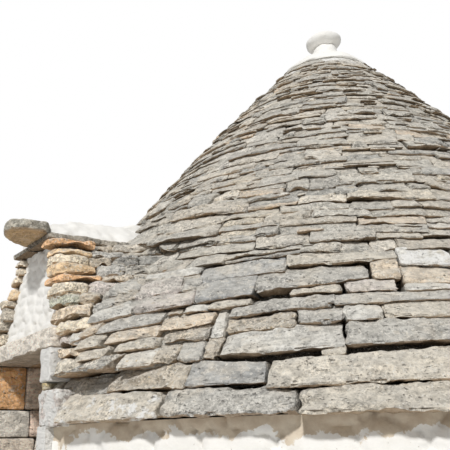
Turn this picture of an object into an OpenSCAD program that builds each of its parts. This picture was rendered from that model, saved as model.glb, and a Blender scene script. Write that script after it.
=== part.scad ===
// Trullo house: a round dry-stone house with a corbelled stone cone, a gabled doorway and a pinnacle.
// Millimetres, +Z up, ground at z = 0, doorway towards -Y, the cone's axis on the Z axis.

/* [Plan] */
// Outer radius of the roof at the eave
roof_r = 3000; // [2800:10:3200]
// How far the eave stands out past the top of the wall
eave_overhang = 110; // [60:10:160]
// How much the wall thickens outwards from its top to the ground
wall_batter = 50; // [0:5:80]
// Thickness of the round wall at its top
wall_t = 850; // [700:10:950]
// Height of the wall from the ground to the underside of the eave
wall_h = 1750; // [1600:10:1900]
// Thickness of the stone floor
floor_t = 100; // [60:10:120]

/* [Cone] */
// Height of the point where the cone's profile closes, above the eave
cone_h = 3630; // [3400:10:3800]
// Outward swell of the cone's profile
cone_swell = 0.226; // [0.15:0.01:0.3]
// How far each course stands out over the one below it
nose = 26; // [12:1:32]
// Thickness of the three lowest courses
thick_course = 130; // [110:5:140]
// Thickness of the first of the other courses
thin_course = 85; // [80:1:88]
// How much thinner each course is than the one below it, as a share of the first of them
course_fall = 0.01; // [0.009:0.0005:0.011]
// Least radius of the last course under the white cap
cap_r = 390; // [340:10:440]
// Thickness of the outer layer of roof stones, measured level
shell_t = 350; // [300:10:400]
// Height of the point where the vault's profile closes, above the eave
vault_h = 2680; // [2640:10:2800]
// Outward swell of the vault's profile
vault_swell = 0.35; // [0.25:0.01:0.42]
// How far each course of the vault stands in over the one below it
vault_lip = 20; // [0:1:26]
// How far the closing slab's underside lies below the point where the profile closes
closing_drop = 280; // [240:10:340]
// Thickness of the slab that closes the vault
closing_t = 120; // [80:10:150]
// Radius of the slab that closes the vault
closing_r = 560; // [450:10:620]

/* [Crown] */
// Height of the white cap
cap_h = 220; // [180:5:240]
// How far the cap's foot laps over the last course
cap_lip = 14; // [6:1:22]
// Radius of the neck at its foot
neck_foot_r = 134; // [120:2:150]
// Radius of the neck under the pinnacle
neck_top_r = 100; // [90:2:110]
// Height of the neck
neck_h = 95; // [80:5:120]
// Radius of the pinnacle
pinnacle_r = 168; // [150:2:190]
// Height of the pinnacle before its underside is cut flat
pinnacle_h = 158; // [140:2:180]
// Lean of the pinnacle, in degrees
pinnacle_lean = 8; // [0:1:10]
// Direction of the level line about which the pinnacle leans, in degrees from +X
pinnacle_turn = -44; // [-60:1:-30]

/* [Doorway] */
// How far the doorway's flat front stands back from the eave
front_inset = 140; // [120:5:160]
// Half the width of the flat front below the gable
front_half = 620; // [600:10:660]
// Half the clear width of the doorway
door_half = 460; // [420:10:500]
// Height of the doorway's head above the eave
door_rise = 430; // [400:5:460]
// Thickness of the lintels
lintel_t = 115; // [90:5:140]
// Depth of the front lintel
lintel_depth = 260; // [200:10:300]
// How far each lintel reaches into the masonry beside the doorway
lintel_bearing = 130; // [100:10:150]

/* [Gable] */
// How far the gable's front leans back, in degrees
front_lean = 4.5; // [0:0.5:10]
// Depth of the white field behind the stone rim
recess = 80; // [50:5:120]
// Half the width of the white field at its foot
field_foot = 500; // [460:10:540]
// Half the width of the white field at its top
field_top = 220; // [180:10:260]
// Height of the white field's top above the eave
field_rise = 1145; // [1100:5:1180]
// Distance of the right flank's foot from the doorway's middle
right_foot = 1000; // [940:10:1080]
// Distance of the right flank's shoulder from the doorway's middle
right_shoulder = 680; // [640:10:740]
// Distance of the right flank's top from the doorway's middle
right_top = 350; // [330:10:390]
// Height of the right shoulder above the eave
right_rise = 690; // [640:10:740]
// Distance of the left flank's foot from the doorway's middle
left_foot = 960; // [900:10:1040]
// Distance of the left flank's shoulder from the doorway's middle
left_shoulder = 620; // [560:10:700]
// Distance of the left flank's top from the doorway's middle
left_top = 340; // [310:10:380]
// Height of the left shoulder above the eave
left_rise = 740; // [680:10:780]
// Direction in which the shoulders behind the flanks run back to the cone, in degrees from the front
shoulder_turn = 47; // [44:1:50]
// Distance from the doorway's middle at which the line of a shoulder's foot meets the front
shoulder_foot = 960; // [900:10:1000]
// The same distance at the height where the shoulders start to lean in
shoulder_knee = 740; // [700:10:780]
// Height above the eave at which the shoulders start to lean in
knee_rise = 600; // [560:10:640]
// How far past the doorway's middle the line of a shoulder's top meets the front, on the other side
shoulder_past = 140; // [100:10:180]
// Distance from the doorway's middle at which the shoulders have died out
shoulder_reach = 1400; // [1350:10:1500]
// How far the flanks' rounded face stands back from the eave, at the top of the wall
flank_inset = 40; // [20:5:60]
// How much further the flanks' rounded face stands back at the field's top
flank_fall = 157; // [120:1:180]
// Depth of the gable's crest, from its front to its back
gable_depth = 800; // [760:10:860]
// Depth of the gable behind the outside of the cone
gable_key = 200; // [150:10:250]
// Half the width of the flat stones under the ridge
bed_half = 330; // [300:10:360]
// Thickness of the flat stones under the ridge
bed_t = 40; // [30:5:60]
// Height of the white ridge above its flat stones
ridge_h = 170; // [140:5:190]
// Half the width of the white ridge's top
ridge_top = 110; // [90:5:140]
// How far the ridge's foot stands in from the edge of its flat stones
ridge_inset = 60; // [40:5:80]
// How far the ridge's front stands back from the gable's front
ridge_setback = 40; // [30:5:60]
// Length over which the ridge rises from the peak slab's top to its own height
ridge_ramp = 250; // [200:10:300]
// How far the mortar that climbs the cone reaches forward over the ridge
fillet_reach = 340; // [280:10:380]
// How high the mortar climbs the cone
fillet_h = 210; // [160:10:240]
// Thickness of the peak slab
peak_t = 70; // [60:5:90]
// Half the width of the peak slab
peak_half = 330; // [300:5:350]
// How far the peak slab stands out past the gable's front
peak_overhang = 235; // [200:5:240]
// How far the peak slab reaches back over the gable
peak_bearing = 180; // [140:10:220]

/* [Hidden] */
$fn = 192;

limewash = [0.93, 0.92, 0.89];
grey_stone = [0.56, 0.54, 0.50];
warm_stone = [0.74, 0.63, 0.50];
inner_stone = [0.66, 0.61, 0.53];
floor_stone = [0.58, 0.55, 0.50];

// How far a cut runs past the face that it cuts
past = 10;
// Heavy courses at the cone's foot, bands above them, and the most courses that are counted
heavy_courses = 3;
bands = 6;
most_courses = 95;
// Lengths of round wall, and the angle from the doorway's middle to the end of a pier
wall_parts = 6;
pier_angle = 25;
wall_angle = (360 - 2 * pier_angle) / wall_parts;
// Wedges in a ring of the vault, their corbelled courses, and the angle of the joint between two
vault_wedges = 16;
vault_courses = 5;
vault_joint = 0.15;
// How far the back lintel's inner end stands in from the room's wall
lintel_corbel = 250;
// How far the back of the white ridge is let into the cone behind the gable
ridge_key = 60;
// Power that rounds the outside of a body of mortar, and steps in its profile
bulge = 1.3;
bulge_steps = 6;
// Power that hollows the mortar that climbs the cone
hollow = 1.6;
// The peak slab's outline, as shares of its half width and of its length from the back
peak_outline = [[0.45, 0], [0.6, 0.28], [0.97, 0.45], [0.96, 0.82], [0.83, 1], [0.5, 1], [0.14, 0.89],
    [-0.12, 0.75], [-0.28, 0.5], [-0.55, 0]];

wall_r = roof_r - eave_overhang;
room_r = wall_r - wall_t;
front_y = roof_r - front_inset;
gable_back = front_y - gable_depth;
ridge_back = gable_back - ridge_key;
lintel_half = door_half + lintel_bearing;
lintel_end = room_r - lintel_corbel;
// The gable's foot stands on the second course
foot_rise = 2 * thick_course;
bed_z = wall_h + field_rise;
peak_z = bed_z + bed_t;
lean = tan(front_lean);
// Courses above the heavy ones: as many as stay outside the cap's least radius
thin_courses = len([for (i = [heavy_courses + 1 : most_courses]) if (cone_r(course_z(i)) >= cap_r) i]);
closing_z = vault_h - closing_drop;
cap_z = wall_h + course_z(band(bands));
neck_z = cap_z + cap_h;

// Number of the course on which band k + 1 starts
function band(k) = heavy_courses + round(thin_courses * k / bands);
// Height above the eave of the underside of course i, counted from 0
function course_z(i) = let (n = i - heavy_courses) n <= 0 ? i * thick_course
    : heavy_courses * thick_course + thin_course * (n - course_fall * n * (n - 1) / 2);
// Radius of the cone without its noses, at a height above the eave
function cone_r(z) = (roof_r - nose) * (1 - z / cone_h) * (1 + cone_swell * z / cone_h);
// Radius of the vault, at a height above the eave
function vault_r(z) = room_r * (1 - z / vault_h) * (1 + vault_swell * z / vault_h);
// Height above the eave of the vault's joint j: the heavy courses, then so many to a band
function vault_z(j) = let (n = j - heavy_courses, k = floor(n / vault_courses), t = n / vault_courses - k)
    n <= 0 ? j * thick_course : course_z(band(k)) * (1 - t) + course_z(band(k + 1)) * t;
// Profile of the vault's courses between two heights, each standing in over the one below it
function vault_side(low, high) =
    let (all = [for (j = [0 : most_courses]) vault_z(j)])
        let (joints = [for (z = all) if (z > low + past && z < high - past) z])
            let (z = concat([low], joints, [high]))
                [for (k = [0 : len(z) - 2]) each [
                    [vault_r(z[k]), z[k]],
                    [vault_r(z[k + 1]) + vault_lip, z[k + 1]]]];
// Inner side of a ring between two heights: the vault's courses, the closing slab's room, then the axis
function inner_side(low, high) = let (top = closing_z + closing_t) concat(
    low >= closing_z ? [] : vault_side(low, min(high, closing_z)),
    high <= closing_z || low >= top ? []
        : [[closing_r, max(low, closing_z)], [closing_r, min(high, top)]],
    high <= top ? [] : [[0, max(low, top)], [0, high]]);
// Half width of a body of mortar at a share t of its height
function swollen(foot, top, t) = top + (foot - top) * (1 - pow(t, bulge));
// Distance of the gable's front from the axis, at a height above the ground
function front_at(z) = front_y - max(0, z - wall_h - door_rise) * lean;

// Stepped courses a to b of the roof, each standing out over the one below
module courses(a, b, inner) {
    steps = [for (i = [b : -1 : a + 1]) each [
        [cone_r(course_z(i)), course_z(i)],
        [cone_r(course_z(i - 1)) + nose, course_z(i - 1)]]];
    translate([0, 0, wall_h])
        rotate_extrude()
            polygon(concat(inner, steps));
}

// A ring of roof courses with the vault's back as its inner side
module shell(a, b) {
    courses(a, b, [
        [cone_r(course_z(a)) - shell_t, course_z(a)],
        [cone_r(course_z(b)) - shell_t, course_z(b)]]);
}

// A ring of roof courses that reaches in to the closing slab or the axis
module solid_courses(a, b) {
    courses(a, b, inner_side(course_z(a), course_z(b)));
}

// A ring of the vault between two course levels, in wedges
module vault_ring(a, b) {
    wedge = 360 / vault_wedges;
    translate([0, 0, wall_h])
        for (i = [0 : vault_wedges - 1])
            rotate([0, 0, -90 + i * wedge + vault_joint / 2])
                rotate_extrude(angle = wedge - vault_joint)
                    polygon(concat(inner_side(course_z(a), course_z(b)), [
                        [cone_r(course_z(b)) - shell_t, course_z(b)],
                        [cone_r(course_z(a)) - shell_t, course_z(a)]]));
}

// Everything in front of the doorway's flat front and the leaning gable, moved back by depth
module front_space(half, depth) {
    y = front_y - depth;
    top = 2 * field_rise;
    translate([-half, 0, wall_h])
        rotate([90, 0, 90])
            linear_extrude(2 * half)
                polygon([[-y, -wall_h - past], [-y, door_rise], [-y + (top - door_rise) * lean, top],
                    [-y - roof_r, top], [-y - roof_r, -wall_h - past]]);
}

// The doorway's passage and the room its lintels take
module way() {
    translate([-door_half, -roof_r - past, -past])
        cube([2 * door_half, roof_r + past - lintel_end + lintel_corbel, wall_h + door_rise + past]);
    translate([-lintel_half, -roof_r - past, wall_h + door_rise])
        cube([2 * lintel_half, roof_r + past - lintel_end, lintel_t]);
}

// A length with an upright outline, from the gable's back to the front of the house
module along_gable(outline) {
    translate([0, -gable_back, wall_h])
        rotate([90, 0, 0])
            linear_extrude(roof_r - gable_back)
                polygon(outline);
}

// The mass of the cone that the gable is keyed into
module cone_core() {
    steps = 5;
    top = field_rise + bed_t + ridge_h;
    translate([0, 0, wall_h])
        rotate_extrude()
            polygon(concat([[0, 0]],
                [for (k = [0 : steps]) [cone_r(top * k / steps) - gable_key, top * k / steps]],
                [[0, top]]));
}

// The point at height z on the line through two points
function at_height(a, b, z) = a + (b - a) * (z - a[1]) / (b[1] - a[1]);

// The mass behind a flank whose outside runs back diagonally and dies out against the cone
module shoulder(side) {
    across = side * sin(shoulder_turn);
    foot = [shoulder_foot * across, foot_rise];
    knee = [shoulder_knee * across, knee_rise];
    top = [-shoulder_past * across, field_rise];
    intersection() {
        translate([0, -front_y, wall_h])
            rotate([90, 0, side * (shoulder_turn - 90)])
                translate([0, 0, -roof_r])
                    linear_extrude(2 * roof_r)
                        polygon([[-side * roof_r, foot_rise - past], at_height(foot, knee, foot_rise - past),
                            knee, at_height(knee, top, field_rise + past),
                            [-side * roof_r, field_rise + past]]);
        along_gable([[-side * past, foot_rise - past], [side * shoulder_reach, foot_rise - past],
            [side * shoulder_reach, field_rise + past], [-side * past, field_rise + past]]);
    }
}

// The gable's outer outline with its shoulders, keyed into the cone and rounded to the wall's curve
module gable_block() {
    left_out = [-left_foot, foot_rise];
    left_in = [-left_shoulder, left_rise];
    right_out = [right_foot, foot_rise];
    right_in = [right_shoulder, right_rise];
    difference() {
        intersection() {
            union() {
                along_gable([at_height(left_out, left_in, foot_rise - past),
                    at_height(right_out, right_in, foot_rise - past), right_in,
                    at_height(right_in, [right_top, field_rise], field_rise + past),
                    at_height(left_in, [-left_top, field_rise], field_rise + past), left_in]);
                shoulder(-1);
                shoulder(1);
            }
            translate([0, 0, wall_h + foot_rise])
                cylinder(h = field_rise - foot_rise,
                    r1 = roof_r - flank_inset - flank_fall * foot_rise / field_rise,
                    r2 = roof_r - flank_inset - flank_fall);
        }
        cone_core();
    }
}

// The half of the gable to one side of the doorway and the white field
module flank(side) {
    field_in = [side * field_foot, door_rise + lintel_t];
    difference() {
        intersection() {
            gable_block();
            along_gable([[side * door_half, foot_rise - past], [side * roof_r, foot_rise - past],
                [side * roof_r, field_rise + past],
                at_height(field_in, [side * field_top, field_rise], field_rise + past), field_in,
                [side * door_half, door_rise + lintel_t]]);
        }
        front_space(roof_r, 0);
        way();
    }
}

// A length of the round wall that starts at angle a and turns through da
module wall_length(a, da) {
    rotate([0, 0, a])
        rotate_extrude(angle = da)
            polygon([[room_r, 0], [wall_r + wall_batter, 0], [wall_r, wall_h], [room_r, wall_h]]);
}

module floor() {
    color(floor_stone)
        cylinder(h = floor_t, r = room_r);
}

module threshold() {
    inner = sqrt(pow(room_r, 2) - pow(door_half, 2)) - past;
    color(floor_stone)
        difference() {
            translate([-door_half, -front_y, 0])
                cube([2 * door_half, front_y - inner, floor_t]);
            translate([0, 0, -past])
                cylinder(h = floor_t + 2 * past, r = room_r);
        }
}

// The length of wall beside the doorway, cut by its flat front and its passage
module pier(side) {
    color(limewash)
        difference() {
            wall_length(side > 0 ? -90 : -90 - pier_angle, pier_angle);
            front_space(front_half, 0);
            way();
        }
}

module left_pier() {
    pier(-1);
}

module right_pier() {
    pier(1);
}

// One of the equal lengths of wall between the piers
module ring_wall(i) {
    color(limewash)
        wall_length(-90 + pier_angle + (i - 1) * wall_angle, wall_angle);
}

module wall_1() {
    ring_wall(1);
}

module wall_2() {
    ring_wall(2);
}

module wall_3() {
    ring_wall(3);
}

module wall_4() {
    ring_wall(4);
}

module wall_5() {
    ring_wall(5);
}

module wall_6() {
    ring_wall(6);
}

module front_lintel() {
    color(warm_stone)
        difference() {
            translate([-lintel_half, -front_y, wall_h + door_rise])
                cube([2 * lintel_half, lintel_depth, lintel_t]);
            front_space(roof_r, 0);
        }
}

module back_lintel() {
    color(inner_stone)
        translate([-lintel_half, -front_y + lintel_depth, wall_h + door_rise])
            cube([2 * lintel_half, front_y - lintel_depth - lintel_end, lintel_t]);
}

module vault_foot() {
    color(inner_stone)
        difference() {
            vault_ring(0, band(0));
            way();
        }
}

module vault_lower() {
    color(inner_stone)
        difference() {
            vault_ring(band(0), band(1));
            way();
        }
}

module vault_middle() {
    color(inner_stone)
        vault_ring(band(1), band(2));
}

module vault_upper() {
    color(inner_stone)
        vault_ring(band(2), band(3));
}

module vault_crown() {
    color(inner_stone)
        vault_ring(band(3), band(4));
}

module closing_slab() {
    color(inner_stone)
        translate([0, 0, wall_h + closing_z])
            cylinder(h = closing_t, r = closing_r);
}

module eave_course() {
    color(grey_stone)
        difference() {
            shell(0, 1);
            front_space(front_half, 0);
            way();
        }
}

module thick_courses() {
    color(grey_stone)
        difference() {
            shell(1, band(0));
            front_space(front_half, 0);
            gable_block();
            way();
        }
}

module roof_band_1() {
    color(grey_stone)
        difference() {
            shell(band(0), band(1));
            gable_block();
            way();
        }
}

module roof_band_2() {
    color(grey_stone)
        difference() {
            shell(band(1), band(2));
            gable_block();
            ridge_room();
        }
}

module roof_band_3() {
    color(grey_stone)
        shell(band(2), band(3));
}

module roof_band_4() {
    color(grey_stone)
        shell(band(3), band(4));
}

module roof_band_5() {
    color(grey_stone)
        solid_courses(band(4), band(5));
}

module roof_band_6() {
    color(grey_stone)
        solid_courses(band(5), band(6));
}

module roof_cap() {
    foot = cone_r(course_z(band(bands))) + cap_lip;
    color(limewash)
        translate([0, 0, cap_z])
            rotate_extrude()
                polygon(concat([[0, 0]],
                    [for (k = [0 : bulge_steps])
                        [swollen(foot, neck_foot_r, k / bulge_steps), cap_h * k / bulge_steps]],
                    [[0, cap_h]]));
}

// The tilted frame in which the pinnacle sits, at the neck's top
module leaning() {
    translate([0, 0, neck_z + neck_h])
        rotate(a = pinnacle_lean, v = [cos(pinnacle_turn), sin(pinnacle_turn), 0])
            children();
}

module neck() {
    h = neck_h + neck_top_r * tan(pinnacle_lean) + past;
    color(limewash)
        difference() {
            translate([0, 0, neck_z])
                cylinder(h = h, r1 = neck_foot_r,
                    r2 = neck_foot_r + (neck_top_r - neck_foot_r) * h / neck_h);
            leaning()
                translate([-pinnacle_r, -pinnacle_r, 0])
                    cube([2 * pinnacle_r, 2 * pinnacle_r, pinnacle_h]);
        }
}

module pinnacle() {
    n = 16;
    c = pinnacle_h / 2;
    start = -acos(neck_top_r / pinnacle_r);
    color(limewash)
        leaning()
            translate([0, 0, -c * sin(start)])
                rotate_extrude()
                    polygon(concat([[0, c * sin(start)]],
                        [for (k = [0 : n]) let (a = start + (90 - start) * k / n)
                            [k == n ? 0 : pinnacle_r * cos(a), c * sin(a)]]));
}

module tympanum() {
    color(limewash)
        difference() {
            along_gable([[-field_foot, door_rise + lintel_t], [field_foot, door_rise + lintel_t],
                [field_top, field_rise], [-field_top, field_rise]]);
            front_space(roof_r, recess);
            cone_core();
        }
}

module left_gable() {
    color(warm_stone)
        flank(-1);
}

module right_gable() {
    color(warm_stone)
        flank(1);
}

// The white ridge's section, from its back over a length towards the front
module ridge_length(length) {
    translate([0, -ridge_back, peak_z])
        rotate([90, 0, 0])
            linear_extrude(length)
                polygon([for (side = [-1, 1], k = [0 : bulge_steps])
                    let (t = (side < 0 ? k : bulge_steps - k) / bulge_steps)
                        [side * swollen(bed_half - ridge_inset, ridge_top, t), ridge_h * t]]);
}

// The room that the ridge takes out of the cone
module ridge_room() {
    translate([-bed_half, -roof_r, bed_z])
        cube([2 * bed_half, roof_r - gable_back, bed_t]);
    ridge_length(roof_r - ridge_back);
}

module ridge_bed() {
    color(grey_stone)
        difference() {
            translate([-bed_half, -front_y, bed_z])
                cube([2 * bed_half, front_y - gable_back, bed_t]);
            front_space(roof_r, 0);
        }
}

// The white ridge lies round the back of the peak slab and slopes down to the slab's top
module ridge_mortar() {
    front = front_at(peak_z) - ridge_setback;
    color(limewash)
        difference() {
            ridge_length(front - ridge_back);
            translate([-bed_half, 0, peak_z])
                rotate([90, 0, 90])
                    linear_extrude(2 * bed_half)
                        polygon([[-front - past, peak_t], [-front, peak_t], [-front + ridge_ramp, ridge_h],
                            [-front + ridge_ramp, ridge_h + past], [-front - past, ridge_h + past]]);
            slab_outline();
        }
}

module ridge_fillet() {
    foot = peak_z + ridge_h - wall_h;
    front = ridge_back + fillet_reach;
    length = fillet_reach + ridge_key + ridge_top;
    color(limewash)
        difference() {
            translate([-ridge_top, 0, wall_h])
                rotate([90, 0, 90])
                    linear_extrude(2 * ridge_top)
                        polygon(concat([[-front + length, foot]],
                            [for (k = [0 : bulge_steps])
                                let (t = k / bulge_steps)
                                    [-front + length * t, foot + fillet_h * pow(t, hollow)]]));
            courses(band(1), band(3), [[0, course_z(band(1))], [0, course_z(band(3))]]);
        }
}

// The slab on the gable's peak, standing out over its front
module slab_outline() {
    back = front_at(peak_z) - peak_bearing;
    translate([0, 0, peak_z])
        linear_extrude(peak_t)
            polygon([for (p = peak_outline)
                [peak_half * p[0], -back - (peak_bearing + peak_overhang) * p[1]]]);
}

module peak_slab() {
    color(grey_stone)
        slab_outline();
}

floor();
threshold();
left_pier();
right_pier();
wall_1();
wall_2();
wall_3();
wall_4();
wall_5();
wall_6();
front_lintel();
back_lintel();
vault_foot();
vault_lower();
vault_middle();
vault_upper();
vault_crown();
closing_slab();
eave_course();
thick_courses();
roof_band_1();
roof_band_2();
roof_band_3();
roof_band_4();
roof_band_5();
roof_band_6();
roof_cap();
neck();
pinnacle();
tympanum();
left_gable();
right_gable();
ridge_bed();
ridge_mortar();
ridge_fillet();
peak_slab();
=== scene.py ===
"""Looks of a trullo house: a cone of dry-laid slabs, a limewashed wall and a gabled doorway."""
import math
from functools import cache
from itertools import product

import bpy
import numpy as np
from mathutils import Matrix, Vector


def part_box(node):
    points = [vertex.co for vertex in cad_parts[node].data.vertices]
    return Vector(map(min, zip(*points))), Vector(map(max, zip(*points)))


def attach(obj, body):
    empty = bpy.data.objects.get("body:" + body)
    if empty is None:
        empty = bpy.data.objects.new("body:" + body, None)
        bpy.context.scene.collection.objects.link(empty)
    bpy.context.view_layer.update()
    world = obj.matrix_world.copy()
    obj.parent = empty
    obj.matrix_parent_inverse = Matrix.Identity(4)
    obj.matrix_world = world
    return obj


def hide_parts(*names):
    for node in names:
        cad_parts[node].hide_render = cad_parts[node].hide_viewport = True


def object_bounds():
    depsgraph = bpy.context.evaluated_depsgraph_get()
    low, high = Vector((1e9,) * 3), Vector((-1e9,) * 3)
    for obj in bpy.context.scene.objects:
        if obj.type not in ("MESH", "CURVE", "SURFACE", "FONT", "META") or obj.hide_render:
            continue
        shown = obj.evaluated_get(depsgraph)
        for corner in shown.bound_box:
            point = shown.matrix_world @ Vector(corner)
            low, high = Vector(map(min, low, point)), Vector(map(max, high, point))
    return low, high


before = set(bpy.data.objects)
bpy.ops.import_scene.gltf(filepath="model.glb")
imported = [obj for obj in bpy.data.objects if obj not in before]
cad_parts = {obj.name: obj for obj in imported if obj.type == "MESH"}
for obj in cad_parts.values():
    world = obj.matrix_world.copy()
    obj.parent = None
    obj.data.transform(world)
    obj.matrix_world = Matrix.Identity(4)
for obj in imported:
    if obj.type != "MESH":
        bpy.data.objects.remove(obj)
cad_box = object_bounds()

# Sizes in metres, the same as the CAD part's; heights are above the eave unless they say otherwise
EAVE_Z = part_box("eave_course")[0][2]
ROOF_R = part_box("eave_course")[1][0]
NOSE = 0.026
CONE_H = 3.63
CONE_SWELL = 0.226
# Courses of the cone: heavy ones, then bands of thin ones, each thinner than the last by a share
HEAVY = 0.13
HEAVY_COURSES = 3
THIN = 0.085
FALL = 0.01
BAND = 7
BANDS = 6
TOP_COURSE = HEAVY_COURSES + BANDS * BAND
# The course that starts above each node of the cone: eave, heavy courses, bands
NODE_TOPS = [1] + [HEAVY_COURSES + BAND * k for k in range(BANDS + 1)]
# Wall, room and doorway
WALL_R = 2.89
WALL_BATTER = 0.05
WALL_PARTS = 6
PIER_ANGLE = 25
ROOM_R = 2.04
FLOOR_T = 0.10
FRONT_Y = 2.86
BAY_HALF = 0.62
DOOR_HALF = 0.46
DOOR_RISE = 0.43
JAMB_T = 0.12
LINTEL_T = 0.115
LINTEL_HALF = 0.59
LINTEL_DEPTH = 0.26
LINTEL_END = 1.79
# Gable: its white field, its flanks, and the shoulders that run back diagonally into the cone
RECESS = 0.08
FRONT_LEAN = math.tan(math.radians(4.5))
FIELD_FOOT = 0.50
FIELD_TOP = 0.22
FIELD_RISE = 1.145
FOOT_RISE = 0.26
FLANK_R = 2.96
FLANK_FALL = 0.157
RIGHT_RAKE = ((FOOT_RISE, 1.00), (0.69, 0.68), (FIELD_RISE, 0.35))
LEFT_RAKE = ((FOOT_RISE, 0.96), (0.74, 0.62), (FIELD_RISE, 0.34))
SHOULDER_TURN = math.radians(47)
SHOULDER = ((FOOT_RISE, 0.96), (0.60, 0.74), (FIELD_RISE, -0.14))
# Ridge over the gable
GABLE_BACK = 2.06
BED_HALF = 0.33
BED_T = 0.04
RIDGE_H = 0.17
RIDGE_TOP = 0.11
RIDGE_INSET = 0.06
RIDGE_SETBACK = 0.04
RIDGE_RAMP = 0.25
RIDGE_BACK = 2.00
RIDGE_RISE = FIELD_RISE + BED_T + RIDGE_H
FILLET_REACH = 0.34
FILLET_H = 0.21
PEAK_T = 0.07
PEAK_HALF = 0.33
PEAK_BEARING = 0.18
PEAK_OVERHANG = 0.235
# The peak slab's outline, as shares of its half width and of its length from the back
PEAK_OUTLINE = [(0.45, 0), (0.6, 0.28), (0.97, 0.45), (0.96, 0.82), (0.83, 1), (0.5, 1), (0.14, 0.89),
                (-0.12, 0.75), (-0.28, 0.5), (-0.55, 0)]
# White crown: mortar cap, neck, and the turned pinnacle that leans a little
CAP_H = 0.22
NECK_FOOT = 0.134
NECK_TOP = 0.100
NECK_H = 0.095
PINNACLE_R = 0.168
PINNACLE_HALF_H = 0.079
LEAN = 8
LEAN_AXIS = -44
# The photograph's camera: azimuth from the doorway towards +X, place, tilt, turn and roll, and lens in mm
CAMERA_AZ = 46
CAMERA = np.array((4.539, -4.383, 1.597))
PITCH, YAW, ROLL = 0.301, 0.160, -0.0227
LENS = 58.18
# The sun: strength, width, azimuth and height in degrees
SUN = 2.55
SUN_WIDTH = 5
SUN_AZ = 42
SUN_HEIGHT = 39.5
# The surround: share of its brightness that lights the house, and radius of the ground
SKY_SHARE = 0.35
GROUND_R = 14

# Looks that the CAD part leaves out: depth of the facing stones, of the packing and of its face behind
# them, joints between dressed blocks, how deep lumps and chipped edges go, how far the cone swells out on
# either side of the ridge, width of the quoins, and cells of the meshes that the photograph shows closest
STONE_DEPTH = 0.2
PACKING_DEPTH = 0.2
FACING = 0.14
JOINT = 0.003
LUMP = 0.021
CHIP = 0.036
RIDGE_BULGE = 0.11
QUOIN = 0.15
FINE_CELL = 0.0145
# Painted shade in the joints: a stone's colour darkens between these depths behind its face, down to this
# share of its colour
PAINTED_SHADE_DEPTHS = [0.004, 0.045]
PAINTED_SHADE = 0.45
# Up to here stones are read off the photograph one by one: height of the near shoulder's, and course
NEAR_TOP = 0.735
LISTED = 9


def course_z(i):
    """Height of the foot of course i"""
    n = i - HEAVY_COURSES
    if n <= 0:
        return i * HEAVY
    return HEAVY_COURSES * HEAVY + THIN * (n - FALL * n * (n - 1) / 2)


def course_middle(i):
    return (course_z(i) + course_z(i + 1)) / 2


def cone_r(z):
    t = z / CONE_H
    return (ROOF_R - NOSE) * (1 - t) * (1 + CONE_SWELL * t)


def front_at(z):
    return FRONT_Y - max(0.0, z - DOOR_RISE) * FRONT_LEAN


def shoulder_w(z):
    """Distance of a shoulder's outside from the doorway's middle, square to the diagonal"""
    return math.sin(SHOULDER_TURN) * float(np.interp(z, *zip(*SHOULDER)))


def merge_az(z):
    """Azimuth at which a shoulder has died out against the cone"""
    reach = (shoulder_w(z) + FRONT_Y * math.cos(SHOULDER_TURN)) / cone_r(z)
    return math.degrees(SHOULDER_TURN - math.acos(min(1.0, reach)))


def face_r(az, z):
    """Radius of the outside: the cone, or a shoulder where that stands out further"""
    r = cone_r(z)
    if FOOT_RISE < z < FIELD_RISE and az < merge_az(z):
        reach = shoulder_w(z) + FRONT_Y * math.cos(SHOULDER_TURN)
        r = max(r, reach / math.cos(SHOULDER_TURN - math.radians(az)))
        r = min(r, front_at(z) / math.cos(math.radians(az)))
    return r


def outward(az):
    """Unit vector away from the axis at an azimuth in degrees, counted from the doorway towards +X"""
    a = np.radians(az)
    return np.stack([np.sin(a), -np.cos(a), np.zeros_like(a)], axis=-1)


def linear(r, g, b):
    """A screen colour of 0 to 255 as scene-linear values"""
    out = []
    for v in (r, g, b):
        v /= 255
        out.append(v / 12.92 if v <= 0.04045 else ((v + 0.055) / 1.055) ** 2.4)
    return out


def smooth(t):
    return t * t * (3 - 2 * t)


def points_at(x, y, z):
    """Points from their coordinates, some of which may be one number for all"""
    return np.stack(np.broadcast_arrays(x, y, z), axis=-1)


# Solid noise, worked out from whole-number lattice points

def lattice(x, y, z, seed):
    n = (x * 374761393 + y * 668265263 + z * 1440670441 + seed * 974634777) & 0xFFFFFFFF
    n = ((n ^ (n >> 13)) * 1274126177) & 0xFFFFFFFF
    return ((n ^ (n >> 16)) & 0xFFFFFF) / 0x7FFFFF - 1.0


def noise(points, size, seed=0):
    q = points / size
    cell = np.floor(q).astype(np.int64)
    f = smooth(q - cell)
    shares = [(1 - f[:, k], f[:, k]) for k in range(3)]
    total = np.zeros(len(points))
    for i, j, k in product((0, 1), repeat=3):
        value = lattice(cell[:, 0] + i, cell[:, 1] + j, cell[:, 2] + k, seed)
        total += shares[0][i] * shares[1][j] * shares[2][k] * value
    return total


def ledges(points, size, seed, steps=2.5):
    """Noise broken into level steps, like the split layers of a slab"""
    n = noise(points, size, seed) * steps
    low = np.floor(n)
    return (low + smooth(np.clip((n - low) * 4, 0, 1))) / steps


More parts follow.
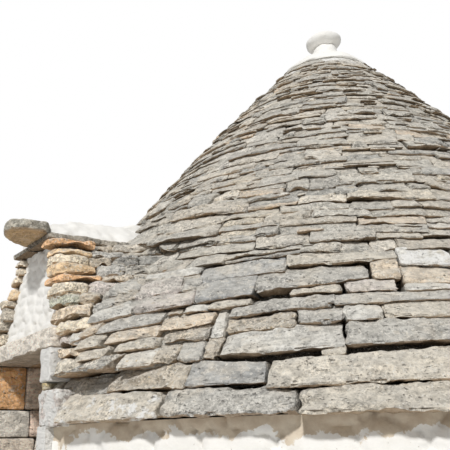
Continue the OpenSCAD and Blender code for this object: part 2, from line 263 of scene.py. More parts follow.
@cache
def skin(nu, nv, nw):
    """The skin of a box of nu by nv by nw cells: its lattice points, the corners of its faces, their sizes"""
    at = {}
    loops = []
    sizes = []

    def face(*corners):
        loops.extend(at.setdefault(c, len(at)) for c in corners)
        sizes.append(len(corners))

    for i in range(nu):
        for j in range(nv):
            face((i, j, nw), (i + 1, j, nw), (i + 1, j + 1, nw), (i, j + 1, nw))
    for i in range(nu):
        for k in range(nw):
            face((i, 0, k), (i + 1, 0, k), (i + 1, 0, k + 1), (i, 0, k + 1))
            face((i, nv, k + 1), (i + 1, nv, k + 1), (i + 1, nv, k), (i, nv, k))
    for j in range(nv):
        for k in range(nw):
            face((0, j, k), (0, j, k + 1), (0, j + 1, k + 1), (0, j + 1, k))
            face((nu, j, k + 1), (nu, j, k), (nu, j + 1, k), (nu, j + 1, k + 1))
    rim = [(i, 0, 0) for i in range(nu)] + [(nu, j, 0) for j in range(nv)]
    rim += [(i, nv, 0) for i in range(nu, 0, -1)] + [(0, j, 0) for j in range(nv, 0, -1)]
    face(*reversed(rim))
    return np.array(list(at)), np.array(loops), np.array(sizes)


def rounded_box(half, r, cell):
    """A box with rounded edges: its points, the ways they face, the corners of its faces and their sizes"""
    counts = [int(np.clip(round(2 * h / cell) + 1, 4, most)) for h, most in zip(half[:2], (60, 14))]
    axes = [np.concatenate([[-h], np.linspace(r - h, h - r, n - 1), [h]]) for h, n in zip(half, counts)]
    layers = [half[2] - d for d in (0.11, 0.035) if d < 2 * half[2] - 0.02]
    axes.append(np.array([-half[2], *layers, half[2] - r, half[2]]))
    order, loops, sizes = skin(*(len(a) - 1 for a in axes))
    p = np.stack([axes[k][order[:, k]] for k in range(3)], axis=1)
    core = np.clip(p, -(half - r), half - r)
    n = p - core
    n /= np.maximum(np.linalg.norm(n, axis=1), 1e-9)[:, None]
    return core + r * n, n, loops, sizes


def hew(rng, p, half, small):
    """Cuts a slanting piece off a block's face, along an edge or at a corner"""
    side = np.array([rng.choice([-1, 1]), rng.choice([-1, 1]), 1.0])
    if rng.random() < 0.7:
        tilt = np.array([rng.uniform(0.0, 0.25), rng.uniform(0.1, 0.7), 1.0])
        depth = rng.uniform(0.006, 0.024)
    else:
        tilt = np.array([rng.uniform(0.2, 1.0), rng.uniform(0.1, 0.9), rng.uniform(0.3, 1.0)])
        depth = rng.uniform(0.010, 0.035)
    face = side * tilt
    face /= np.linalg.norm(face)
    over = p @ face - ((face * side * half).sum() - depth * small)
    hit = over > 0
    p[hit] -= over[hit, None] * face


def lumps(at):
    """Relief of a rough surface, from broad lumps and ledges down to fine ones"""
    at = at * (1, 1, 2)
    return (0.35 * noise(at, 0.13, 1) + 0.4 * ledges(at, 0.09, 4) + 0.25 * noise(at, 0.045, 2)
            + 0.2 * noise(at, 0.022, 3))


def new_mesh(name, points, loops, sizes):
    mesh = bpy.data.meshes.new(name)
    mesh.vertices.add(len(points))
    mesh.vertices.foreach_set("co", points.astype(np.float32).reshape(-1))
    mesh.loops.add(len(loops))
    mesh.loops.foreach_set("vertex_index", loops.astype(np.int32))
    mesh.polygons.add(len(sizes))
    starts = np.concatenate([[0], np.cumsum(sizes)[:-1]])
    mesh.polygons.foreach_set("loop_start", starts.astype(np.int32))
    mesh.update(calc_edges=True)
    mesh.validate()
    return mesh


# Vertex colours of limewashed work, and of the packing behind the stones, whose dark colour is painted shade
# in the joints
WHITEWASH = np.ones(4)
SMOOTH = np.zeros(4)
PACKING_SHADE = np.append(linear(62, 54, 45), 0)
PACKING_GRAIN = np.array([1, 0, 0.5, 0])


class Heap:
    """Gathers stones and other closed bodies, and makes one mesh object of them"""

    def __init__(self, name, seed):
        self.name = name
        self.rng = np.random.default_rng(seed)
        self.parts = []
        self.count = 0

    def put(self, points, push, loops, sizes, tint, grain, rough):
        """Adds a closed body: its points, the way each is pushed by the noise, faces, and colours"""
        n = len(points)
        shift = np.tile(self.rng.uniform(-40, 40, 3), (n, 1))
        self.parts.append((points, push, shift, loops + self.count, sizes, np.broadcast_to(tint, (n, 4)),
                           np.tile(grain, (n, 1)), np.full(n, rough)))
        self.count += n

    def stone(self, size, place, look, cell=0.04, rounding=0.008, cuts=2, rough=1.0, paint=None,
              arch=None, exposed=0.0):
        """A rough block of a length, height and depth, put in place by a function of u along, v up, w out"""
        rng = self.rng
        half = np.array(size) / 2
        r = min(rounding, 0.45 * half.min())
        p, n, loops, sizes = rounded_box(half, r, cell)
        small = min(1.0, half[1] / 0.05)
        for _ in range(cuts):
            hew(rng, p, half, small)
        u, v, w = (p / half).T
        world, along, up, out = place(u, v, w)
        if arch:
            middle, width, rise = arch
            world = world + ((1 - v) / 2 * rise * np.exp(-((u - middle) / width) ** 2))[:, None] * up
        push = n[:, :1] * along + n[:, 1:2] * up + n[:, 2:] * out
        edge = 1 - np.abs(n).max(axis=1)
        chip = noise(world + rng.uniform(-40, 40, 3), 0.045, 5)
        world = world - push * (np.clip(chip - 0.1, 0, 1) * (edge > 0.2) * CHIP * small * rough)[:, None]
        tint = np.tile(look[0], (len(world), 1))
        # Painted shade: the colour darkens with depth behind the face, where the joints fall into shade
        inside = (1 - w) * half[2] - exposed
        tint[:, :3] *= np.interp(inside, PAINTED_SHADE_DEPTHS, [1.0, PAINTED_SHADE])[:, None]
        if paint:
            paint(world, tint)
        self.put(world, push, loops, sizes, tint, look[1], rough)

    def grid(self, points, push=None, tint=WHITEWASH, grain=SMOOTH, rough=0.0, closed=False, flip=False):
        """A closed tube of points[i][j]: rings are joined along i and round j, with capped ends"""
        points = np.asarray(points)
        push = np.zeros_like(points) if push is None else np.asarray(push)
        if flip:
            points, push = points[:, ::-1], push[:, ::-1]
        rows, cols = points.shape[:2]
        i, j = np.meshgrid(np.arange(rows if closed else rows - 1), np.arange(cols), indexing="ij")
        k = (j + 1) % cols
        m = (i + 1) % rows
        quads = np.stack([i * cols + j, i * cols + k, m * cols + k, m * cols + j], axis=-1).reshape(-1)
        sizes = np.full(len(quads) // 4, 4)
        if not closed:
            quads = np.concatenate([quads, np.arange(cols)[::-1], (rows - 1) * cols + np.arange(cols)])
            sizes = np.concatenate([sizes, [cols, cols]])
        self.put(points.reshape(-1, 3), push.reshape(-1, 3), quads, sizes, tint, grain, rough)

    def build(self, material, slot, nodes=(), limit=None, sharp=38):
        """Roughens all bodies, keeps them inside the CAD box, and makes the object that replaces the nodes"""
        points, push, shift, loops, sizes, tint, grain, rough = (
            np.concatenate([part[k] for part in self.parts]) for k in range(8))
        points = points + push * (lumps(points + shift) * LUMP * rough)[:, None]
        if limit:
            r = np.hypot(points[:, 0], points[:, 1])
            points[:, :2] *= np.minimum(1, limit / np.maximum(r, 1e-6))[:, None]
            bay = (np.abs(points[:, 0]) < BAY_HALF) & (points[:, 2] < EAVE_Z + FOOT_RISE)
            points[bay, 1] = np.maximum(points[bay, 1], -FRONT_Y)
        points = np.clip(points, cad_box[0], cad_box[1])
        mesh = new_mesh(self.name, points, loops, sizes)
        for name, values in (("tint", tint), ("grain", grain)):
            layer = mesh.color_attributes.new(name, "FLOAT_COLOR", "POINT")
            layer.data.foreach_set("color", values.astype(np.float32).reshape(-1))
        mesh.shade_smooth()
        mesh.set_sharp_from_angle(angle=math.radians(sharp))
        mesh.materials.append(material)
        obj = bpy.data.objects.new(self.name, mesh)
        bpy.context.scene.collection.objects.link(obj)
        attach(obj, "root")
        if nodes:
            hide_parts(*nodes)


# Stone colours as they look in plain light
GREY = (186, 183, 176)
BLUE = (172, 172, 170)
BEIGE = (213, 204, 188)
BROWN = (192, 180, 162)
PEACH = (228, 210, 186)
PALE = (222, 219, 211)
PINK = (208, 198, 190)
ORANGE = (236, 190, 144)
CREAM = (238, 224, 200)
APRICOT = (240, 210, 170)
GREEN = (190, 190, 172)
# Colours of the stones that no list gives, and how often each comes up: the cone's, and the gable's front
PALETTE = [
    ((190, 185, 174), 6), ((180, 176, 167), 5), ((200, 192, 178), 4),
    ((206, 195, 176), 2), ((184, 174, 159), 3), ((216, 207, 192), 2),
    ((168, 166, 160), 3), ((213, 207, 196), 2), ((206, 186, 162), 1)]
GABLE_FRONT = [
    ((236, 222, 200), 4), ((226, 216, 200), 3), ((242, 230, 212), 3),
    ((214, 204, 188), 2), ((238, 212, 176), 2)]


def pick(rng, palette=PALETTE):
    """A colour of the palette, lighter or darker by a little, as scene-linear values"""
    weights = np.array([w for _, w in palette], float)
    colour = palette[rng.choice(len(palette), p=weights / weights.sum())][0]
    return np.array(linear(*colour)) * rng.uniform(0.9, 1.16)


def stone_look(rng, colour=None, white=0.0, pitted=None, under_bounce=None, fresh=0.0):
    """Vertex colours of one stone: its colour with limewash cover, and its surface with the strength of
    painted bounce light on its undersides
    """
    base = pick(rng) if colour is None else np.array(colour)
    tint = np.append(base, white)
    # Grain: pitting, lichen, freshness, and the strength of painted bounce light on the undersides
    grain = np.array([rng.uniform(0, 1) if pitted is None else pitted, rng.uniform(0, 1),
                      fresh, rng.uniform(0.2, 1) if under_bounce is None else under_bounce])
    return tint, grain


def cone_stone(heap, low, high, z, cell, look, out=0.0, depth=STONE_DEPTH, lip=1.0, swell=(0, 0), **more):
    """A stone of the cone: azimuths of its ends below and above; heights of its two feet and two heads"""

    def place(u, v, w):
        t, k = (u + 1) / 2, (v + 1) / 2
        az = (low[0] + (low[1] - low[0]) * t) * (1 - k) + (high[0] + (high[1] - high[0]) * t) * k
        foot = z[0] + (z[1] - z[0]) * t
        top = z[2] + (z[3] - z[2]) * t
        face = (cone_r(foot) + NOSE * lip) * (1 - k) + (cone_r(top) + 0.004) * k + out
        face += swell[0] * (1 - t) + swell[1] * t
        away = outward(az)
        world = away * (face - depth * (1 - w) / 2)[:, None]
        world[:, 2] = EAVE_Z + foot + (top - foot) * k
        return world, outward(az + 90), np.array([[0.0, 0.0, 1.0]]), away

    length = math.radians(low[1] - low[0]) * cone_r(z[0])
    # How far behind the face the painted shade of the joints begins
    free = 0.13 if z[0] < 0.06 else 0.03 if z[0] < 0.5 else 0.0
    height = (z[2] + z[3] - z[0] - z[1]) / 2
    heap.stone((length, height, depth), place, look, cell=cell, exposed=free, **more)


def waves(rng, amp):
    """A gently waving height along the azimuth"""
    parts = [(k, rng.uniform(0, 2 * math.pi), rng.uniform(0.4, 1) / k ** 0.4) for k in (4, 9, 17, 31)]
    total = sum(p[2] for p in parts)
    return lambda az: amp * sum(a * math.sin(k * math.radians(az) + ph) for k, ph, a in parts) / total * 1.6


BED_RNG = np.random.default_rng(11)
BEDS = [waves(BED_RNG, 0.012 if i < 4 else 0.017 - 0.00024 * i) for i in range(60)]


def bed(i, az):
    """Height of the joint under course i"""
    return course_z(i) + BEDS[i](az)


def facing(az):
    """Degrees between an azimuth and the camera's"""
    return abs((az - CAMERA_AZ + 180) % 360 - 180)


# Stones of the cone's foot, read off the photograph one by one: azimuths of the two ends, heights of the
# left and right bottom and of the left and right top, colour, limewash cover, pitting
STONES = [
    (14.5, 20.3, .008, .005, .15, .14, BEIGE, 0.3, 0.4),
    (20.3, 27.9, .004, .004, .14, .125, BEIGE, 0.35, 0.6),
    (28.1, 41.4, .014, .002, .137, .118, GREY, 0, 0.9), (41.6, 60, 0, -.008, .108, .118, BEIGE, 0, 0.7),
    (9.5, 12.3, .19, .165, .245, .235, BROWN, 0, 0.8), (12.4, 20.5, .16, .15, .245, .238, GREY, 0, 1),
    (20.6, 30, .15, .14, .26, .268, BROWN, 0, 0.8), (30.1, 38.4, .154, .145, .275, .25, BLUE, 0, 0.1),
    (38.5, 59.5, .122, .14, .25, .300, BEIGE, 0, 0.5),
    (11.5, 17.2, .255, .255, .335, .338, GREY, 0, 0.6), (17.3, 20.1, .26, .27, .355, .355, GREY, 0, 0.8),
    (20.2, 24.9, .28, .28, .36, .366, PALE, 0, 0.1), (25, 28, .285, .285, .388, .39, BROWN, 0, 0.9),
    (28.1, 31, .285, .285, .395, .395, GREY, 0, 0.7), (31.1, 32.6, .29, .29, .395, .395, BROWN, 0, 0.9),
    (32.7, 45.9, .290, .315, .41, .44, PALE, 0, 0.4), (43.7, 46, .268, .272, .307, .315, BEIGE, 0, 0.5),
    (46, 59, .318, .325, .437, .45, GREY, 0, 0.6),
    (11.3, 17.2, .35, .35, .42, .42, BEIGE, 0, 0.5), (9.9, 14.8, .43, .43, .508, .508, BEIGE, 0, 0.5),
    (15.2, 23.8, .437, .45, .51, .517, PEACH, 0, 0.2), (18.3, 24.8, .372, .378, .432, .436, BEIGE, 0, 0.5),
    (25.2, 30.9, .40, .40, .465, .48, BROWN, 0, 0.9), (23.9, 31, .474, .488, .545, .56, PEACH, 0, 0.3),
    (31.1, 32.8, .403, .403, .566, .566, PALE, 0, 0.4), (32.9, 40.8, .425, .43, .504, .507, BROWN, 0, 1),
    (40.9, 46, .446, .45, .532, .534, GREY, 0, 0.7), (46.1, 50.2, .452, .455, .53, .53, PALE, 0, 0.2),
    (50.4, 60.5, .456, .46, .542, .545, BEIGE, 0, 0.4),
    (8.8, 12.5, .52, .52, .597, .597, PEACH, 0.2, 0.2), (12.1, 23.7, .518, .53, .605, .6, GREY, 0, 0.2),
    (24, 26.2, .565, .565, .612, .612, BROWN, 0, 0.8), (26.3, 29.8, .565, .57, .61, .612, PALE, 0, 0.3),
    (29.8, 35.2, .578, .582, .62, .626, BEIGE, 0, 0.5), (33, 45, .514, .54, .575, .612, GREY, 0, 1),
    (45.1, 60, .54, .553, .597, .61, GREY, 0, 0.1),
    (8.5, 18.1, .61, .61, .70, .706, PALE, 0.2, 0.3), (18.2, 27.4, .616, .622, .706, .70, PINK, 0, 0.4),
    (27.6, 35.2, .626, .643, .736, .765, BLUE, 0, 0.1), (40, 46, .622, .622, .652, .668, BEIGE, 0, 0.6),
    (35.4, 49.5, .655, .695, .80, .79, GREY, 0, 0.7), (46.6, 52.4, .612, .612, .68, .677, PINK, 0, 0.4),
    (49.7, 53.2, .69, .69, .812, .812, PEACH, 0, 0.5), (53.4, 60.5, .65, .65, .77, .75, PEACH, 0, 0.3),
    (53.3, 60, .612, .615, .645, .645, PALE, 0, 0.3),
    (8.5, 12, .71, .71, .78, .78, GREY, 0, 0.5), (12.1, 16.5, .712, .715, .78, .78, BROWN, 0, 1),
    (16.6, 24.9, .715, .712, .812, .826, PINK, 0, 0.8), (25, 27.6, .708, .708, .80, .80, GREY, 0, 0.5),
    (26.8, 39, .752, .778, .862, .870, BLUE, 0, 0.2), (8, 16.4, .79, .79, .875, .88, GREY, 0, 0.6),
    (16.6, 26.5, .822, .832, .885, .885, PALE, 0, 0.3), (39.3, 53.4, .808, .815, .886, .886, BEIGE, 0, 0.5),
    (53.5, 60.5, .78, .758, .886, .886, PALE, 0.5, 0.3)]


def sighted(az, z):
    """Azimuth and height at which the line of sight to a point of the cone meets the outside"""
    end = outward(az) * cone_r(z) + (0, 0, EAVE_Z + z)
    for share in np.linspace(0.25, 0, 101):
        x, y, height = end + (CAMERA - end) * share
        turn = math.degrees(math.atan2(x, -y))
        height -= EAVE_Z
        if math.hypot(x, y) < face_r(turn, height):
            return turn, height
    return az, z


def lay_photo_stones(heaps):
    """Lays the listed stones: low ones on the cone, the others where the line of sight meets the outside"""
    for az0, az1, b0, b1, t0, t1, colour, white, pitted in STONES:
        middle = (b0 + b1 + t0 + t1) / 4
        heap = next((h for h, top in zip(heaps, NODE_TOPS) if middle < course_z(top)), heaps[-1])
        rng = heap.rng
        feet = [(az0 + 0.03, b0), (az1 - 0.03, b1)]
        heads = [(az0 + 0.03, t0), (az1 - 0.03, t1)]
        if middle > FOOT_RISE:
            feet = [sighted(*foot) for foot in feet]
            heads = [sighted(*head) for head in heads]
            if feet[0][1] > NEAR_TOP and feet[1][0] < merge_az(feet[1][1]):
                continue
            feet = [(a, max(h, FOOT_RISE + 0.002)) for a, h in feet]
            heads = [(a, max(h, FOOT_RISE + 0.03)) for a, h in heads]
        look = stone_look(rng, np.array(linear(*colour)) * rng.uniform(0.94, 1.06), white, pitted,
                                 rng.uniform(0.7, 1.0))
        low = (feet[0][0], feet[1][0])
        high = (heads[0][0] + rng.uniform(-0.3, 0.3), heads[1][0] + rng.uniform(-0.3, 0.3))
        z = (feet[0][1], feet[1][1], heads[0][1] + 0.006, heads[1][1] + 0.006)
        swell = [face_r(a, h) - cone_r(h) for a, h in feet]
        cone_stone(heap, low, high, z, FINE_CELL, look,
                   out=rng.uniform(-0.018, 0.004), depth=0.22, lip=rng.uniform(0.7, 1.1), swell=swell,
                   rounding=0.006 + 0.007 * pitted, cuts=4, rough=0.6 + 0.7 * pitted)


def course_span(i):
    """Azimuths between which course i runs round the back of the house"""
    z = course_middle(i)
    if z >= RIDGE_RISE:
        return 0, 360
    if z < FOOT_RISE:
        start, end = 8.9, 360 - 11.6
    else:
        start = merge_az(z) - 4 if z < FIELD_RISE else math.degrees(math.asin(0.25 / cone_r(z)))
        end = 360 - start
    if i < LISTED:
        low, top = course_z(i) + 0.02, course_z(i + 1) - 0.02
        start = 0.3 + max(s[1] for s in STONES if min(s[4], s[5]) > low and max(s[2], s[3]) < top)
    return start, end


def bulge(az, z):
    """How far the cone swells out over the mortar on either side of the ridge"""
    turned = min(az % 360, 360 - az % 360)
    beside = np.clip((27 - turned) / 12, 0, 1)
    if z > RIDGE_RISE:
        beside = min(beside, np.clip((turned - 4) / 8, 0, 1))
    return RIDGE_BULGE * float(smooth(beside) * np.interp(z, [1.0, 1.15, 1.36, 1.55], [0, 1, 1, 0]))


# Lengths of stones against a course's mean, pitting, how far a stone sinks into the course below it, and
# how far it stands up into the next: values, and how often each comes up
LENGTHS = [0.45, 0.75, 1.0, 1.3, 1.8], [0.17, 0.25, 0.25, 0.2, 0.13]
PITTING = [0.2, 0.5, 0.8, 1.0], [0.2, 0.25, 0.3, 0.25]
SUNK = [0.0, 0.014, 0.026], [0.6, 0.25, 0.15]
RAISED = [0.0, 0.016, 0.03], [0.6, 0.25, 0.15]
# Mean length of a course's stones by height, and cells of their meshes by the angle from the camera
MEAN_LENGTHS = [0, 0.4, 0.9, 2, 3.2], [0.62, 0.5, 0.34, 0.26, 0.2]
CELLS = [45, 75, 100], [0.0175, 0.026, 0.06]


def draw(rng, values, odds):
    return rng.choice(values, p=odds)


def course_stone(heap, i, feet, heads, low, high, cell):
    """A stone of course i: heights of its foot and head, and azimuths of its ends below and above"""
    rng = heap.rng
    z = course_middle(i)
    gap = rng.uniform(-0.002, 0.005) * math.degrees(1 / cone_r(z))
    pitted = draw(rng, *PITTING)
    white = rng.uniform(0, 0.8) * max(0.0, z - 2.9) / 0.35
    look = stone_look(rng, white=white, pitted=pitted)
    arch = None
    if rng.random() < 0.35:
        wide = rng.uniform(0.15, 0.45) if i < LISTED else rng.uniform(0.35, 0.8)
        thick = (heads[0] + heads[1] - feet[0] - feet[1]) / 2
        arch = (rng.uniform(-0.9, 0.9), wide, thick * rng.uniform(0.12, 0.42 if i < LISTED else 0.28))
    out = rng.uniform(-0.024 if i else -0.026, 0.0)
    lips = [0.1, 0.6, 1.1 if i < 26 else 1.0], [0.36, 0.34, 0.30]
    lip = rng.uniform(0.3, 1.3) if i < 12 else draw(rng, *lips)
    cone_stone(heap, (low[0] + gap, low[1] - gap), (high[0] + gap, high[1] - gap), (*feet, *heads), cell,
               look, out=out, depth=min(STONE_DEPTH, 0.6 * cone_r(z)), lip=lip, arch=arch,
               swell=[bulge(a, z) for a in low],
               rounding=rng.uniform(0.004, 0.009), cuts=int(rng.integers(1, 4)), rough=0.7 + 0.6 * pitted)


def lay_course(heap, i):
    """Lays the stones of course i side by side, some of them as two thin ones"""
    rng = heap.rng
    start, end = course_span(i)
    z = course_middle(i)
    degrees = math.degrees(1 / cone_r(z))
    mean = np.interp(z, *MEAN_LENGTHS)
    whole = end - start >= 360
    az = rng.uniform(-8, 12) if whole else start
    stop = az + 360 if whole else end
    lean = 0.0
    while az < stop - 0.5:
        length = mean * draw(rng, *LENGTHS) * rng.uniform(0.85, 1.15)
        nxt = az + length * degrees
        if stop - nxt < 0.5 * mean * degrees:
            nxt = stop
        turn = 0.0 if nxt == stop else rng.uniform(-0.03, 0.03) * degrees
        sunk = draw(rng, *SUNK) if i > HEAVY_COURSES else 0.0
        raised = draw(rng, *RAISED) if i > HEAVY_COURSES else 0.0
        bottom = [bed(i, a) + rng.uniform(-0.006, 0.008) - sunk for a in (az, nxt)]
        top = [bed(i + 1, a) + rng.uniform(-0.006, 0.010) + raised for a in (az, nxt)]
        low, high = (az, nxt), (az + lean, nxt + turn)
        layers = [(bottom, top, low, high)]
        if rng.random() < 0.3 and length > 0.2:
            split = rng.uniform(0.35, 0.65, 2)
            mid = [a + (b - a) * k for a, b, k in zip(bottom, top, split)]
            halfway = [(a + b) / 2 for a, b in zip(low, high)]
            layers = [(bottom, [m + 0.004 for m in mid], low, halfway), (mid, top, halfway, high)]
        cell = float(np.interp(facing((az + nxt) / 2), *CELLS))
        for layer in layers:
            course_stone(heap, i, *layer, cell)
        az = nxt
        lean = turn


def lay_flakes(heap, i):
    """Thin flakes wedged into the joint over course i on the side that the photograph shows"""
    rng = heap.rng
    start, end = course_span(i)
    for _ in range(int(rng.integers(5, 10))):
        az = rng.uniform(CAMERA_AZ - 62, CAMERA_AZ + 62)
        z = bed(i + 1, az) + rng.uniform(-0.02, 0.02)
        if end - start < 360 and az < start + 3:
            continue
        wide = rng.uniform(0.05, 0.17) * math.degrees(1 / cone_r(z))
        thick = rng.uniform(0.012, 0.03)
        slope = rng.uniform(-0.012, 0.012)
        look = stone_look(rng, pitted=rng.uniform(0.2, 1.0))
        cone_stone(heap, (az, az + wide), (az + 0.1 * wide, az + 0.8 * wide),
                   (z, z + slope, z + thick, z + slope + thick * rng.uniform(0.3, 1.0)), 0.02, look,
                   out=rng.uniform(-0.012, 0.010), depth=0.1, lip=rng.uniform(0.3, 1.0), rounding=0.005,
                   cuts=2, swell=(bulge(az, z), bulge(az + wide, z)), rough=0.9)


def backing(heap, a, b):
    """The packing behind the facing stones of courses a to b, dark as painted shade in the joints"""
    start, end = course_span(a)
    full = end - start >= 360
    if not full:
        start, end = 11.5, 360 - 11.5
    levels = [course_z(a) + 0.012] + [course_z(k) for k in range(a + 2, b, 2)] + [course_z(b) - 0.012]
    outer = [(cone_r(z) - FACING, z) for z in levels]
    inner = [(max(r - PACKING_DEPTH, 0.02), z) for r, z in reversed(outer)]
    steps = 72
    az = start + (end - start) * np.arange(steps + (0 if full else 1)) / steps
    points = [[outward(t) * r + (0, 0, EAVE_Z + z) for r, z in outer + inner] for t in az]
    heap.grid(points, None, PACKING_SHADE, PACKING_GRAIN, closed=full)


# Materials

WHITE = linear(243, 241, 236)
SHADE_WHITE = linear(220, 214, 204)


class Graph:
    """Short calls for making and joining shader nodes"""

    def __init__(self, tree):
        self.tree = tree

    def node(self, kind, **inputs):
        n = self.tree.nodes.new(kind)
        for key, value in inputs.items():
            self.set(n.inputs[key.replace("_", " ")], value)
        return n

    def set(self, socket, value):
        if isinstance(value, bpy.types.NodeSocket):
            self.tree.links.new(value, socket)
        else:
            socket.default_value = value

    def maths(self, op, a, b):
        n = self.node("ShaderNodeMath")
        n.operation = op
        for socket, value in zip(n.inputs, (a, b)):
            self.set(socket, value)
        return n.outputs[0]

    def plus(self, a, b):
        return self.maths("ADD", a, b)

    def minus(self, a, b):
        return self.maths("SUBTRACT", a, b)

    def times(self, a, b):
        return self.maths("MULTIPLY", a, b)

    def mix(self, share, a, b, kind="MIX"):
        n = self.node("ShaderNodeMix")
        n.data_type = "RGBA"
        n.blend_type = kind
        self.set(n.inputs[0], share)
        for socket, colour in ((n.inputs[6], a), (n.inputs[7], b)):
            self.set(socket, colour if isinstance(colour, bpy.types.NodeSocket) else (*colour, 1))
        return n.outputs[2]

    def ramp(self, value, low, high, out_low=0.0, out_high=1.0):
        n = self.node("ShaderNodeMapRange")
        n.interpolation_type = "SMOOTHSTEP"
        for socket, v in zip(n.inputs, (value, low, high, out_low, out_high)):
            self.set(socket, v)
        return n.outputs[0]

    def noise(self, where, scale, detail, rough):
        n = self.node("ShaderNodeTexNoise", Vector=where, Scale=scale, Detail=detail, Roughness=rough)
        return n.outputs[0]

    def attribute(self, name):
        """Colour and alpha of a vertex colour"""
        n = self.node("ShaderNodeAttribute")
        n.attribute_name = name
        return n.outputs["Color"], n.outputs["Alpha"]

    def upward(self, vector):
        return self.node("ShaderNodeSeparateXYZ", Vector=vector).outputs[2]

    def surface(self, colour, roughness, height, strength, distance):
        """Joins the colour, roughness and relief to the material's shader"""
        inputs = self.tree.nodes["Principled BSDF"].inputs
        bump = self.node("ShaderNodeBump", Strength=strength, Distance=distance, Height=height)
        for name, value in (("Base Color", colour), ("Roughness", roughness), ("Specular IOR Level", 0.25),
                            ("Normal", bump.outputs[0])):
            self.set(inputs[name], value)


def new_material(name):
    """A new material, its graph, and the place on the object that its patterns follow"""
    mat = bpy.data.materials.new(name)
    mat.use_nodes = True
    g = Graph(mat.node_tree)
    return mat, g, g.node("ShaderNodeTexCoord").outputs["Object"]


def speckles(g, at, pitted, mid, grit, fine):
    """Light and dark grain, stronger on pitted stones"""
    speckle = g.times(g.ramp(grit, 0.36, 0.62, 0.58, 1.26), g.ramp(fine, 0.32, 0.68, 0.76, 1.2))
    speckle = g.times(g.minus(speckle, 1.0), g.ramp(pitted, 0.1, 0.9, 0.25, 0.95))
    speckle = g.times(speckle, g.ramp(g.noise(at, 8, 4, 0.6), 0.42, 0.6, 0.3, 1.25))
    shade = g.times(g.ramp(mid, 0.36, 0.64, 0.68, 1.27), g.plus(speckle, 1.0))
    return g.node("ShaderNodeCombineColor", Red=shade, Green=shade, Blue=shade).outputs[0]


def pits(g, at, flat, pitted):
    """Dark holes, in patches that grow with the stone's pitting"""
    near = g.plus(g.times(pitted, 0.16), -0.06)
    where = g.ramp(g.plus(g.noise(at, 13, 3, 0.6), near), 0.36, 0.54)
    hole = g.maths("MAXIMUM", g.ramp(g.noise(flat, 30, 6, 0.75), 0.6, 0.655),
                   g.ramp(g.noise(flat, 75, 4, 0.7), 0.625, 0.68, 0, 0.9))
    return g.times(hole, where)


def painted_side_light(g, colour, under_bounce, bounce_strength):
    """Painted shade and warm painted bounce light on undersides, and a painted highlight on tops"""
    up = g.upward(g.node("ShaderNodeNewGeometry").outputs["Normal"])
    # Painted bounce light: undersides take a warm colour
    under = g.times(g.ramp(up, -0.3, -0.8, 0, bounce_strength), under_bounce)
    # Painted shade: undersides darken
    painted_under_shade = g.times(g.ramp(up, -0.25, -0.8), g.ramp(under_bounce, 0.6, 1.0, 1.0, 0.3))
    colour = g.mix(painted_under_shade, colour, (0.5, 0.47, 0.43), "MULTIPLY")
    colour = g.mix(under, colour, linear(220, 180, 136))
    # Painted highlight: faces that turn up are paler
    return g.mix(g.ramp(up, 0.35, 0.85, 0, 0.4), colour, linear(230, 225, 214))


def stone_material(name, bounce_strength=0.42):
    """Weathered limestone: grey crust, beige where it broke, pits, lichen and limewash, with painted shade,
    bounce light and highlight by the way each face turns
    """
    mat, g, at = new_material(name)
    tint, cover = g.attribute("tint")
    grain, under_bounce = g.attribute("grain")
    pitted, lichen, fresh = g.node("ShaderNodeSeparateColor", Color=grain).outputs
    crust = g.minus(1.0, fresh)
    flat = g.node("ShaderNodeMapping", Vector=at, Scale=(1.0, 1.0, 2.2)).outputs[0]
    wide = g.noise(at, 4.5, 5, 0.62)
    mid = g.noise(flat, 17, 5, 0.65)
    grit = g.noise(at, 62, 3, 0.6)
    fine = g.noise(at, 150, 4, 0.7)
    colour = g.mix(g.times(crust, g.ramp(wide, 0.5, 0.66, 0, 0.5)), tint, linear(212, 200, 181))
    colour = g.mix(g.times(crust, g.ramp(wide, 0.48, 0.36, 0, 0.6)), colour, linear(172, 168, 161))
    colour = g.mix(1.0, colour, speckles(g, at, pitted, mid, grit, fine), "MULTIPLY")
    broken = g.ramp(g.noise(flat, 9, 4, 0.6), 0.58, 0.62, 0, 0.45)
    colour = g.mix(broken, colour, linear(222, 212, 196))
    pale = g.ramp(g.noise(at, 50, 5, 0.75), 0.565, 0.615, 0, 0.85)
    colour = g.mix(pale, colour, linear(234, 229, 218))
    spots = g.times(g.ramp(g.noise(at, 46, 3, 0.55), 0.66, 0.7), g.ramp(lichen, 0.55, 0.9))
    colour = g.mix(g.times(spots, 0.7), colour, linear(200, 172, 110))
    hole = pits(g, at, flat, pitted)
    colour = g.mix(g.times(hole, 0.78), colour, linear(84, 76, 66))
    # Painted shade and bounce light on undersides, painted highlight on tops
    colour = painted_side_light(g, colour, under_bounce, bounce_strength)
    wash = g.plus(g.noise(at, 13, 5, 0.7), g.times(cover, 0.62))
    colour = g.mix(g.ramp(wash, 0.72, 0.84), colour, WHITE)
    height = g.plus(g.plus(g.times(mid, 0.8), g.times(grit, 0.5)), g.times(fine, 0.25))
    height = g.minus(height, g.times(hole, 0.5))
    g.surface(colour, g.ramp(mid, 0.3, 0.7, 0.8, 0.96), height, 1.0, 0.024)
    return mat


